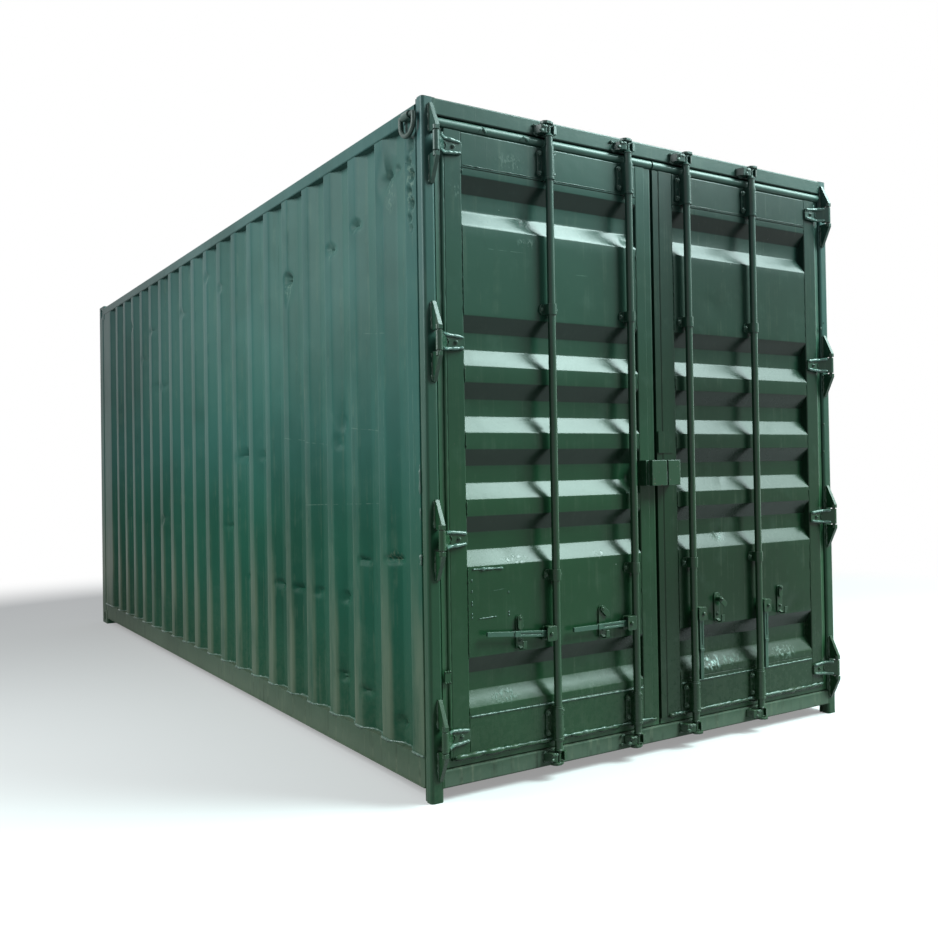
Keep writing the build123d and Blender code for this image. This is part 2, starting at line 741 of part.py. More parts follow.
with BuildPart() as right_door_rails:
    mirror(left_door_rails.part, about=Plane.YZ)
save(right_door_rails.part, "right_door_rails")

with BuildPart() as left_door_panel:
    outline = [(FRONT + b, a) for a, b in sheet_outline(press_profile(), SHEET)]
    with BuildSketch(Plane.YZ.offset(-FIELD_OUTER)):
        with BuildLine():
            Polyline(*outline, close=True)
        make_face()
    extrude(amount=FIELD_OUTER - FIELD_INNER)
save(left_door_panel.part, "left_door_panel")

with BuildPart() as right_door_panel:
    mirror(left_door_panel.part, about=Plane.YZ)
save(right_door_panel.part, "right_door_panel")

# Hinge blades: knuckle round the pin, strap that lies on the stile and tapers.
with BuildPart() as left_hinge_blades:
    pin_y = FRONT - PIN_OUT
    tip_x = -HINGE_EDGE + BLADE_REACH
    root_x = -PIN_X + KNUCKLE_RADIUS + CLEAR
    blade_y = FRONT - BLADE_THICK
    bend_x = -HINGE_EDGE - CLEAR / 2
    with BuildSketch():
        with Locations((-PIN_X, pin_y)):
            Circle(KNUCKLE_RADIUS)
        with BuildLine():
            Polyline(
                (-PIN_X + KNUCKLE_RADIUS * 0.7, pin_y - KNUCKLE_RADIUS * 0.7),
                (bend_x, blade_y),
                (tip_x, blade_y),
                (tip_x, FRONT),
                (-HINGE_EDGE, FRONT),
                (-PIN_X, pin_y + KNUCKLE_RADIUS),
                close=True,
            )
        make_face()
        with Locations((-PIN_X, pin_y)):
            Circle(PIN_RADIUS + PIN_CLEAR, mode=Mode.SUBTRACT)
    extrude(amount=HEIGHT)
    with BuildSketch(Plane.XZ.offset(-FRONT)):
        for level in HINGE_LEVELS:
            with BuildLine():
                Polyline(
                    (-PIN_X - KNUCKLE_RADIUS, level - KNUCKLE_HALF),
                    (root_x, level - KNUCKLE_HALF),
                    (root_x, level - BLADE_HALF),
                    (tip_x, level - BLADE_TIP_HALF),
                    (tip_x, level + BLADE_TIP_HALF),
                    (root_x, level + BLADE_HALF),
                    (root_x, level + KNUCKLE_HALF),
                    (-PIN_X - KNUCKLE_RADIUS, level + KNUCKLE_HALF),
                    close=True,
                )
            make_face()
    extrude(amount=PIN_OUT + KNUCKLE_RADIUS, mode=Mode.INTERSECT)
save(left_hinge_blades.part, "left_hinge_blades")

with BuildPart() as right_hinge_blades:
    mirror(left_hinge_blades.part, about=Plane.YZ)
save(right_hinge_blades.part, "right_hinge_blades")


def rod_bracket(x, low, height, flange):
    """Add one bolted bracket: a sleeve round the rod, a web and a flange plate."""
    y = FRONT - ROD_OUT
    runs = [(SLEEVE_RADIUS, low, height)]
    if height == SLEEVE_HEIGHT:
        runs = [
            (SLEEVE_RADIUS + SLEEVE_STEP / 2, low, SLEEVE_BAND),
            (SLEEVE_RADIUS, low + SLEEVE_BAND, height - SLEEVE_BAND - SLEEVE_NECK),
            (SLEEVE_RADIUS - SLEEVE_STEP, low + height - SLEEVE_NECK, SLEEVE_NECK),
        ]
    for radius, start, run in runs:
        with BuildSketch(Plane.XY.offset(start)) as profile:
            with Locations((x, y)):
                Circle(radius)
            with Locations((x, (y + FRONT) / 2)):
                Rectangle(2 * radius, ROD_OUT)
        extrude(profile.sketch, amount=run)
    with BuildSketch(Plane.XZ.offset(-FRONT)) as profile:
        with Locations((x, low + height / 2)):
            RectangleRounded(2 * FLANGE_HALF, flange, FLANGE_ROUND)
    extrude(profile.sketch, amount=FLANGE_THICK)
    with BuildSketch(Plane.XY.offset(low)) as profile:
        with Locations((x, y)):
            Circle(ROD_RADIUS + ROD_CLEAR)
    extrude(profile.sketch, amount=height, mode=Mode.SUBTRACT)


def handle_retainer(x, side, swung):
    """Add one retainer: back plate, hook below the handle and a flap, hanging or swung aside."""
    low = HUB_LEVEL + HUB_HALF / 2 - RETAINER_HALF
    high = low + 2 * RETAINER_HALF
    with BuildSketch(Plane.XZ.offset(-FRONT)) as profile:
        with Locations((x, (low + high) / 2)):
            RectangleRounded(RETAINER_WIDTH, high - low, RETAINER_WIDTH / 3)
    extrude(profile.sketch, amount=RETAINER_PLATE)
    reach = ROD_OUT + HANDLE_THICK + CLEAR
    hook_top = HUB_LEVEL - HANDLE_ARM - CLEAR
    with BuildSketch(Plane.YZ.offset(x)) as profile:
        with BuildLine():
            Polyline(
                (FRONT, low + RETAINER_PLATE),
                (FRONT - reach / 2, low),
                (FRONT - reach + RETAINER_PLATE / 2, low + RETAINER_PLATE),
                (FRONT - reach, hook_top),
                (FRONT - reach + RETAINER_PLATE, hook_top),
                (FRONT - reach + RETAINER_PLATE, low + 2 * RETAINER_PLATE),
                (FRONT - reach / 2, low + RETAINER_PLATE),
                (FRONT, low + 3 * RETAINER_PLATE),
                close=True,
            )
        make_face()
    extrude(profile.sketch, amount=RETAINER_WIDTH / 4, both=True)
    flap_out = ROD_OUT - HANDLE_THICK / 2 - HANDLE_SWELL - CLEAR
    pivot_level = high - RETAINER_WIDTH / 3
    if side > 0 and swung:
        flap_out = FLAP_OUT
        pivot_level -= RETAINER_WIDTH / 2
    with BuildSketch(Plane.XZ.offset(-FRONT)) as profile:
        with Locations((x, pivot_level)):
            Circle(RETAINER_WIDTH / 3)
    extrude(profile.sketch, amount=flap_out)
    half_run = (FLAP_LENGTH - FLAP_WIDTH) / 2
    tilt = FLAP_TILT if swung else -90.0
    fall = Vector(half_run, 0, 0).rotate(Axis.Z, tilt)
    with BuildSketch(Plane.XZ.offset(-FRONT + flap_out)) as profile:
        with Locations((x + fall.X, pivot_level + fall.Y)):
            SlotOverall(FLAP_LENGTH, FLAP_WIDTH, rotation=tilt)
    extrude(profile.sketch, amount=-RETAINER_PLATE)


def door_brackets(side):
    """Add the rod brackets and handle retainers of one leaf."""
    for rod_x in ROD_X:
        x = side * rod_x
        rod_bracket(x, SLEEVE_LOW, SLEEVE_HEIGHT, FLANGE_HEIGHT)
        rod_bracket(x, SLEEVE_HIGH, SLEEVE_HEIGHT, FLANGE_HEIGHT)
        for level in STRAP_LEVELS:
            rod_bracket(x, level - STRAP_HEIGHT / 2, STRAP_HEIGHT, STRAP_HEIGHT)
        handle_retainer(x + side * RETAINER_AT, side, swung=rod_x < HINGE_EDGE / 2)


with BuildPart() as left_door_brackets:
    door_brackets(-1)
save(left_door_brackets.part, "left_door_brackets")

with BuildPart() as right_door_brackets:
    door_brackets(1)
save(right_door_brackets.part, "right_door_brackets")


def door_seal(side, meet):
    """Add the rubber seal round a leaf, with its round bead along the top."""
    outer = side * (POST_INNER - CLEAR)
    low = SILL_TOP + CLEAR
    high = HEADER_BOTTOM - CLEAR
    depth = (FRONT + SEAL_FRONT, FRONT + SEAL_BACK)
    block((outer, side * HINGE_EDGE), depth, (low, high))
    block((outer, meet), depth, (low, DOOR_BOTTOM))
    block((outer, meet), depth, (DOOR_TOP, high - SEAL_ROUND))
    with BuildSketch(Plane.YZ.offset(outer)) as profile:
        with Locations((FRONT + SEAL_FRONT, high - SEAL_ROUND)):
            Circle(SEAL_ROUND)
    extrude(profile.sketch, amount=meet - outer)


with BuildPart() as left_door_seal:
    left_meet = RIGHT_EDGE - CLEAR - MEETING_PLAY
    door_seal(-1, left_meet)
    block(
        (LEFT_EDGE, left_meet), (FRONT + SEAL_FRONT, FRONT + SEAL_BACK), (DOOR_BOTTOM, DOOR_TOP)
    )
save(left_door_seal.part, "left_door_seal")

with BuildPart() as right_door_seal:
    door_seal(1, RIGHT_EDGE)
save(right_door_seal.part, "right_door_seal")

# Lock box: one open-ended shell on each leaf, meeting at the middle.
with BuildPart() as left_lock_box:
    box_z = (BOX_LOW, BOX_HIGH)
    block((BOX_LEFT, left_meet), (FRONT - BOX_SHELF, FRONT), box_z)
    block((BOX_STEP, left_meet), (FRONT - BOX_DEPTH, FRONT), box_z)
    inside_z = (BOX_LOW + BOX_WALL, BOX_HIGH - BOX_WALL)
    block(
        (BOX_LEFT + BOX_WALL, left_meet),
        (FRONT - BOX_SHELF + BOX_WALL, FRONT),
        inside_z,
        mode=Mode.SUBTRACT,
    )
    block(
        (BOX_STEP + BOX_WALL, left_meet),
        (FRONT - BOX_DEPTH + BOX_WALL, FRONT),
        inside_z,
        mode=Mode.SUBTRACT,
    )
save(left_lock_box.part, "left_lock_box")

with BuildPart() as right_lock_box:
    block((RIGHT_EDGE, BOX_RIGHT), (FRONT - BOX_DEPTH, FRONT), box_z)
    block(
        (RIGHT_EDGE, BOX_RIGHT - BOX_WALL),
        (FRONT - BOX_DEPTH + BOX_WALL, FRONT),
        inside_z,
        mode=Mode.SUBTRACT,
    )
save(right_lock_box.part, "right_lock_box")


def cam(x, side, tip, way):
    """Add the forged end of a rod: collar, cone, thin neck and a hooked horn on a disc."""
    y = FRONT - ROD_OUT
    root = tip - way * CAM_HEAD
    with BuildSketch(Plane.XZ.offset(-y)) as profile:
        with BuildLine():
            Polyline(
                (x, root),
                (x + ROD_RADIUS, root),
                (x + CAM_RADIUS, root + way * CAM_COLLAR / 3),
                (x + CAM_RADIUS, root + way * CAM_COLLAR * 2 / 3),
                (x + ROD_RADIUS, root + way * CAM_COLLAR),
                (x + CAM_NECK, root + way * (CAM_COLLAR + CAM_CONE)),
                (x + CAM_NECK, tip - way * HORN_THICK),
                (x + CAM_RADIUS, tip - way * HORN_THICK),
                (x + CAM_RADIUS, tip - way * HORN_THICK / 4),
                (x + ROD_RADIUS, tip),
                (x, tip),
                close=True,
            )
        make_face()
    revolve(profile.sketch, axis=Axis((x, y, 0), (0, 0, 1)))
    with BuildSketch(Plane.XY.offset(tip)) as profile:
        with BuildLine():
            Polyline(
                (x, y - CAM_RADIUS),
                (x + side * HORN_REACH * 0.6, y - CAM_RADIUS),
                (x + side * HORN_REACH * 0.9, y - CAM_RADIUS / 2),
                (x + side * HORN_REACH, y + CAM_RADIUS / 3),
                (x + side * HORN_REACH * 0.85, y + CAM_RADIUS / 2),
                (x + side * HORN_REACH * 0.7, y),
                (x, y + CAM_RADIUS / 4),
                close=True,
            )
        make_face()
    extrude(profile.sketch, amount=-way * HORN_THICK)


def lock_rod(x, side):
    """Add one lock rod: tube, two cams, and the strap that holds the handle."""
    y = FRONT - ROD_OUT
    low = ROD_LOW + CAM_HEAD
    high = ROD_HIGH - CAM_HEAD
    with BuildSketch(Plane.XY.offset(low)) as profile:
        with Locations((x, y)):
            Circle(ROD_RADIUS)
            Circle(ROD_RADIUS - ROD_WALL, mode=Mode.SUBTRACT)
    extrude(profile.sketch, amount=high - low)
    cam(x, side, ROD_LOW, -1)
    cam(x, side, ROD_HIGH, 1)
    half_gap = HUB_SPAN / 2
    hub_top = HUB_LEVEL + HUB_HALF
    for way in SIDES:
        with BuildSketch(Plane.XZ.offset(-(y + way * half_gap))) as profile:
            with Locations((x + side * (HUB_LENGTH + ROD_RADIUS - ROD_WALL) / 2, HUB_LEVEL)):
                RectangleRounded(HUB_LENGTH - ROD_RADIUS + ROD_WALL, 2 * HUB_HALF, HUB_ROUND)
        extrude(profile.sketch, amount=-way * HUB_PLATE)
    block(
        (x + side * (ROD_RADIUS - ROD_WALL / 2), x + side * (HUB_LENGTH - HUB_ROUND)),
        (y - half_gap - HUB_PLATE, y + half_gap + HUB_PLATE),
        (hub_top - HUB_PLATE, hub_top),
    )
    with BuildSketch(Plane.XZ.offset(-y)) as profile:
        with Locations((x + side * PIVOT, HUB_LEVEL)):
            Circle(PIN_RADIUS)
    extrude(profile.sketch, amount=half_gap + HUB_PLATE + PIN_RADIUS / 2, both=True)


def handle(x, side, lies):
    """Add one forged handle from its eye, turned up from level by the given angle."""
    lie = Vector(side, 0, 0).rotate(Axis.Y, -side * lies)
    pivot = (x + side * PIVOT, FRONT - ROD_OUT, HUB_LEVEL)
    flat = Plane(origin=pivot, x_dir=lie, z_dir=(0, -1, 0))
    grip_run = HANDLE_LENGTH - GRIP_START
    with BuildSketch(flat) as profile:
        Circle(HANDLE_EYE)
        with BuildLine():
            Polyline(
                (0, -HANDLE_ARM),
                (GRIP_START + HANDLE_ARM, -HANDLE_WAIST),
                (GRIP_START + HANDLE_ARM, HANDLE_WAIST),
                (0, HANDLE_ARM),
                close=True,
            )
        make_face()
        with Locations((GRIP_START + grip_run / 2, 0)):
            RectangleRounded(grip_run, 2 * HANDLE_GRIP, HANDLE_ROUND)
        Circle(PIN_RADIUS + PIN_CLEAR, mode=Mode.SUBTRACT)
    extrude(profile.sketch, amount=HANDLE_THICK / 2, both=True)
    with BuildSketch(flat) as profile:
        with Locations((GRIP_START + HANDLE_ARM / 2, 0)):
            RectangleRounded(HANDLE_ARM, 2 * HANDLE_WAIST, HANDLE_ROUND)
    extrude(profile.sketch, amount=HANDLE_THICK / 2 + HANDLE_SWELL, both=True)
    with BuildSketch(flat.offset(HANDLE_THICK / 2)) as profile:
        with Locations((sum(GROOVE_RUN) / 2, 0)):
            SlotOverall(GROOVE_RUN[1] - GROOVE_RUN[0], 2 * GROOVE_HALF)
    extrude(profile.sketch, amount=-GROOVE_DEEP, mode=Mode.SUBTRACT)


with BuildPart() as left_outer_rod:
    lock_rod(-ROD_X[0], -1)
save(left_outer_rod.part, "left_outer_rod")

with BuildPart() as left_inner_rod:
    lock_rod(-ROD_X[1], -1)
save(left_inner_rod.part, "left_inner_rod")

with BuildPart() as right_inner_rod:
    lock_rod(ROD_X[1], 1)
save(right_inner_rod.part, "right_inner_rod")

with BuildPart() as right_outer_rod:
    lock_rod(ROD_X[0], 1)
save(right_outer_rod.part, "right_outer_rod")

with BuildPart() as left_outer_handle:
    handle(-ROD_X[0], -1, HANDLE_LIES[0])
save(left_outer_handle.part, "left_outer_handle")

with BuildPart() as left_inner_handle:
    handle(-ROD_X[1], -1, HANDLE_LIES[1])
save(left_inner_handle.part, "left_inner_handle")

with BuildPart() as right_inner_handle:
    handle(ROD_X[1], 1, HANDLE_LIES[2])
save(right_inner_handle.part, "right_inner_handle")

with BuildPart() as right_outer_handle:
    handle(ROD_X[0], 1, HANDLE_LIES[2])
save(right_outer_handle.part, "right_outer_handle")
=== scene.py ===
"""Green storage container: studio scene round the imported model, metres, Z up."""

import json
import math
from itertools import product

import bmesh
import bpy
import numpy as np
from mathutils import Matrix, Quaternion, Vector


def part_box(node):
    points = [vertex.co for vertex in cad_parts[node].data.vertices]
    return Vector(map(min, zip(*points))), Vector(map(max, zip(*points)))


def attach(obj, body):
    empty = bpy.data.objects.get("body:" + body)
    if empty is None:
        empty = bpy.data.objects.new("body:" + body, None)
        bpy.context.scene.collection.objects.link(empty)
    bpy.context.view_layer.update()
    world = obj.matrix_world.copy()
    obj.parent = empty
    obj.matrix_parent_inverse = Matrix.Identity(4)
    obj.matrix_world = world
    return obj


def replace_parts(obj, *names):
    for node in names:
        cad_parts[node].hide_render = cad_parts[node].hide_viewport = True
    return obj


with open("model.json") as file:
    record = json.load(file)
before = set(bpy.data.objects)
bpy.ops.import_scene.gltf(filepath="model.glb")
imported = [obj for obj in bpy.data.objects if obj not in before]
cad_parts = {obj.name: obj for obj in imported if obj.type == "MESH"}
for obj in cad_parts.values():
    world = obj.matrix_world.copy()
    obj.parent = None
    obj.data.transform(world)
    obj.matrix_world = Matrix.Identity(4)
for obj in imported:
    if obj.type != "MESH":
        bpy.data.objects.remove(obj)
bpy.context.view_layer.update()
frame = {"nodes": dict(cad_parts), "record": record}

# The photograph's camera.
IMAGE = 938
SENSOR = 36.0
FOCAL_PX = 998.87
MIDDLE_PX = (513.67, 453.81)
CAMERA_AT = (-3.1262, -3.472, 1.3262)
AZIMUTH = 0.5892
ELEVATION = 0.0129
ROLL = -0.0165


def face(name, end, axis):
    """The low (end 0) or high (end 1) face of a solid's box, to a tenth of a millimetre."""
    return round(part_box(name)[end][axis], 4)


# Places on the container, in metres. FRONT is the plane of the door face.
JOINTS = {joint["name"]: joint["pos_m"] for joint in frame["record"]["behaviour"]["joints"]}
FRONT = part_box("corner_post_left")[0][1]
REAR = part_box("rear_posts")[1][1]
OUT = (0.0, -1.0, 0.0)
HALF_WIDTH = face("corner_post_right", 1, 0)
HEIGHT = face("corner_post_right", 1, 2)
RAIL_TOP = face("side_wall_left", 0, 2)
POST_BACK = FRONT + 0.0615
POST_JOINT_X = HALF_WIDTH - 0.0052
POST_RUN_X = HALF_WIDTH - 0.0025
POST_RUNS = ((0.935, 0.985), (1.115, 1.175), (1.215, 1.345))
POST_DROPS = ((1.167, 1.524, 0.005), (1.162, 1.377, 0.005), (1.158, 2.03, 0.006), (1.18, 2.06, 0.004))
PATCH_DROPS = {-1.02: (0.716, 0.731, 0.768, 0.779, 0.822, 0.867), -0.842: (0.712, 0.724, 0.806)}
PIN_X = JOINTS["right_door_swing"][0]
HINGE_LEVELS = np.linspace(0.248, 2.622, 4)
LUG_HALF = 0.0085
LUG_NEAR = 0.044
LUG_FAR = 0.161
BLADE_FACE = 0.009
BLADE_TIP = 1.041
BLADE_BOLT = 1.082
BLADE_EYE = 1.128
EYE_ARC = 0.014
# Edge of a hinge blade: x, way out of the door face, half width.
BLADE_EDGE = (
    (1.158, 0.041, 0.03),
    (1.14, 0.023, 0.03),
    (1.1245, 0.0105, 0.0285),
    (1.085, 0.0095, 0.0255),
    (1.045, 0.0085, 0.0205),
)
ROD_NAMES = ("outer", "inner")
ROD_X = tuple(round(JOINTS[f"right_{name}_rod_turn"][0], 4) for name in ROD_NAMES)
ROD_OUT = 0.03
SLEEVE_MIDDLES = (0.237, 2.621)
SLEEVE_RADIUS = 0.0222
FLANGE_REACH = 0.036
FLANGE_OUT = 0.007
STRAP_MIDDLES = (0.864, 1.994)
KEEPER_MIDDLES = (0.096, 2.763)
KEEPER_LONG = (0.058, 0.076)
KEEPER_SHORT = (0.036, 0.03)
# Lumps of paint on a keeper: share of its long ear, height above its middle.
KEEPER_LUMPS = ((0.12, -0.01), (0.42, 0.01), (0.75, 0.01), (0.95, 0.01))
HUB_LEVEL = JOINTS["right_outer_rod_turn"][2]
PIVOT = 0.042
RETAINER_AT = 0.175
# Pivot of a retainer's flap: way out of the door face, height.
FLAP_FLAT = (0.015, 0.6935)
FLAP_RAISED = (0.034, 0.6755)
DOOR_LOW = face("right_hinge_stile", 0, 2)
DOOR_HIGH = face("right_hinge_stile", 1, 2)
STILE_EDGE = face("right_hinge_stile", 1, 0) + 0.0005
FIELD_OUTER = face("right_door_panel", 1, 0)
FIELD_INNER = face("right_door_panel", 0, 0)
RAIL_HIGH = face("right_door_panel", 0, 2)
RAIL_LOW = face("right_door_panel", 1, 2)
LOW_SEAM = {-1: 0.318, 1: 0.305}
SEAL_FRONT = 0.012
TUBE_RADIUS = 0.019
TUBE_LEVEL = 2.716
PRESS_ROWS = 6
PRESS_PITCH = 0.273
PRESS_END = 0.131
PRESS_HALF = 0.103
PRESS_SLOPE = 0.068
PRESS_DEEP = 0.038
WALL_WAVES = 20
END_WAVES = 7
WALL_FIRST = 0.1587
WALL_SLOPE = 0.068
WALL_TROUGH = 0.07
WALL_CREST = 0.072
WALL_DEEP = 0.036
WALL_INSET = 0.004
WAVE = 2 * WALL_SLOPE + WALL_TROUGH + WALL_CREST
SHEET = 0.002
SEAM_END = 0.003
SEAM_BEND = 0.014
CREST_FACE = HALF_WIDTH - WALL_INSET
PRESS_MIDDLE = (RAIL_HIGH + RAIL_LOW) / 2

# Colours, linear. A tone is a row of (height, colour) from the ground up. FRONT_TONE, SIDE_TONE and
# POST_TONE grow paler and bluer towards the top, a painted reflection of the sky; SIDE_TONE is bluer than
# FRONT_TONE for the same painted sky reflection on the side walls.
FRONT_TONE = (
    (0.00, (0.012, 0.052, 0.02)),
    (1.1, (0.013, 0.053, 0.023)),
    (1.6, (0.015, 0.054, 0.029)),
    (2.1, (0.021, 0.064, 0.044)),
    (2.55, (0.029, 0.074, 0.06)),
    (2.8, (0.05, 0.1, 0.085)),
)
SIDE_TONE = (
    (0.00, (0.015, 0.072, 0.04)),
    (0.9, (0.015, 0.085, 0.055)),
    (1.6, (0.03, 0.108, 0.09)),
    (2.4, (0.044, 0.116, 0.105)),
    (2.8, (0.048, 0.112, 0.105)),
)
POST_TONE = (
    (0.00, (0.012, 0.053, 0.023)),
    (0.9, (0.014, 0.055, 0.027)),
    (1.6, (0.021, 0.065, 0.044)),
    (2.2, (0.03, 0.084, 0.072)),
    (2.8, (0.05, 0.11, 0.105)),
)
RAIL_TONE = (
    (0.00, (0.1, 0.135, 0.09)),
    (0.07, (0.07, 0.11, 0.072)),
    (0.18, (0.042, 0.082, 0.05)),
)
SILL_TONE = (
    (0.00, (0.115, 0.16, 0.115)),
    (0.07, (0.085, 0.128, 0.092)),
    (0.16, (0.035, 0.072, 0.044)),
)
# The right leaf's tone is the front tone darkened: painted shade over the whole right leaf.
RIGHT_SHADED_TONE = tuple((level, tuple(0.64 * part for part in colour)) for level, colour in FRONT_TONE)
# The seal's tone is the front tone made paler: painted light on the seal strip in its shaded gap and on the
# seal's tube.
SEAL_LIT_TONE = tuple((level, tuple(1.5 * part for part in colour)) for level, colour in FRONT_TONE)
# The handles' tone is paler than the door paint, partly a painted reflection of the sky on their faces.
HANDLE_TONE_AND_SHEEN = ((0.00, (0.04, 0.098, 0.068)), (2.8, (0.04, 0.098, 0.068)))
RING_TONE = ((0.00, (0.045, 0.075, 0.065)), (2.8, (0.045, 0.075, 0.065)))
# The welds' tone is paler than the paint round them, a painted highlight on the raised beads.
WELD_HIGHLIGHT_TONE = ((0.00, (0.07, 0.14, 0.105)), (2.8, (0.07, 0.15, 0.13)))
# Factors that make the posts' outward side faces paler: painted light.
POST_FLANK_LIGHT = (1.1, 1.2, 1.25, 1)
CHALK = (0.16, 0.24, 0.2, 1)
DUST = (0.17, 0.2, 0.14, 1)
GRIME = (0.012, 0.017, 0.013, 1)
# Dark colour for faces that look down: painted shade.
DOWNWARD_SHADE = (0.006, 0.009, 0.007, 1)
SHADED = (0.66, 0.7, 0.68, 1)
RUST = (0.13, 0.045, 0.02, 1)
SPLASH = (0.5, 0.55, 0.5, 1)
BARE = (0.34, 0.46, 0.42, 1)
UNDERSEAL = (0.016, 0.017, 0.015, 1)
PLY = (0.3, 0.17, 0.085, 1)
PLY_DARK = (0.16, 0.085, 0.04, 1)
FLOOR_SEEN = (0.74, 0.735, 0.735, 1)
FLOOR_SHADE = (0.66, 0.65, 0.65, 1)
FLOOR_BOUNCE = (0.17, 0.18, 0.17, 1)
SKY = (0.25, 0.275, 0.29, 1)
KEY_COLOUR = (0.77, 1.0, 0.98)
KEY_SLANT = (-0.645, 0.412, -0.645)
KEY_LEAN = -33.85

FITTING = "green_fitting_paint"
SEAL = "painted_seal"
draw = np.random.default_rng(7)


def placed(name, data):
    """A new object in the scene."""
    made = bpy.data.objects.new(name, data)
    bpy.context.scene.collection.objects.link(made)
    return made


# Shader nodes
def node(tree, kind, inputs=None, **settings):
    """Add one shader node; inputs maps a socket to a value or to another socket."""
    made = tree.nodes.new("ShaderNode" + kind)
    for key, value in settings.items():
        setattr(made, key, value)
    for key, value in (inputs or {}).items():
        if isinstance(value, bpy.types.NodeSocket):
            tree.links.new(value, made.inputs[key])
        else:
            made.inputs[key].default_value = value
    return made


def sums(tree, operation, first, second=0.0, clamp=False):
    """One step of arithmetic between two values."""
    return node(tree, "Math", {0: first, 1: second}, operation=operation, use_clamp=clamp).outputs[0]


def times(tree, first, second, clamp=False):
    """The product of two values."""
    return sums(tree, "MULTIPLY", first, second, clamp)


def scaled(tree, value, factor, start):
    """A value times a factor, plus a start."""
    return node(tree, "Math", {0: value, 1: factor, 2: start}, operation="MULTIPLY_ADD").outputs[0]


def blend(tree, amount, first, second, way="MIX"):
    """Mix two colours by an amount."""
    inputs = {0: amount, 6: first, 7: second}
    return node(tree, "Mix", inputs, data_type="RGBA", blend_type=way).outputs[2]


def step(tree, value, low, high, way="SMOOTHSTEP"):
    """Rise from 0 at low to 1 at high, soft at both ends unless the way is LINEAR."""
    inputs = {"Value": value, "From Min": low, "From Max": high}
    return node(tree, "MapRange", inputs, interpolation_type=way).outputs["Result"]


def cloud(tree, place, scale, detail=3.0, stretch=(1, 1, 1), shift=(0, 0, 0), rough=0.55):
    """Noise on the object's own coordinates, stretched along its axes."""
    mapped = node(tree, "Mapping", {"Vector": place, "Scale": stretch, "Location": shift})
    inputs = {"Vector": mapped.outputs[0], "Scale": scale, "Detail": detail, "Roughness": rough}
    return node(tree, "TexNoise", inputs).outputs["Fac"]


def near(tree, place, centre, size):
    """1 at a point, falling to 0 on an ellipsoid of the given half sizes about it."""
    away = node(tree, "VectorMath", {0: place, 1: centre}, operation="SUBTRACT")
    share = node(tree, "VectorMath", {0: away.outputs[0], 1: size}, operation="DIVIDE")
    length = node(tree, "VectorMath", {0: share.outputs[0]}, operation="LENGTH")
    return step(tree, length.outputs["Value"], 1.0, 0.35)


def tone(tree, height, stops):
    """Colour by height, run smoothly between the stops of a tone."""
    share = sums(tree, "DIVIDE", height, HEIGHT)
    made = node(tree, "ValToRGB", {0: share})
    made.color_ramp.interpolation = "EASE"
    elements = made.color_ramp.elements
    while len(elements) < len(stops):
        elements.new(0.5)
    for element, (level, _) in zip(elements, stops):
        element.position = level / HEIGHT
    for element, (_, colour) in zip(elements, stops):
        element.color = colour + (1,)
    return made.outputs[0]


def shader(name, roughness, specular):
    """A new material with its node tree, surface shader and coordinates."""
    material = bpy.data.materials.new(name)
    material.use_nodes = True
    tree = material.node_tree
    surface = tree.nodes["Principled BSDF"]
    surface.inputs["Roughness"].default_value = roughness
    surface.inputs["Specular IOR Level"].default_value = specular
    place = node(tree, "TexCoord").outputs["Object"]
    return material, tree, surface, place


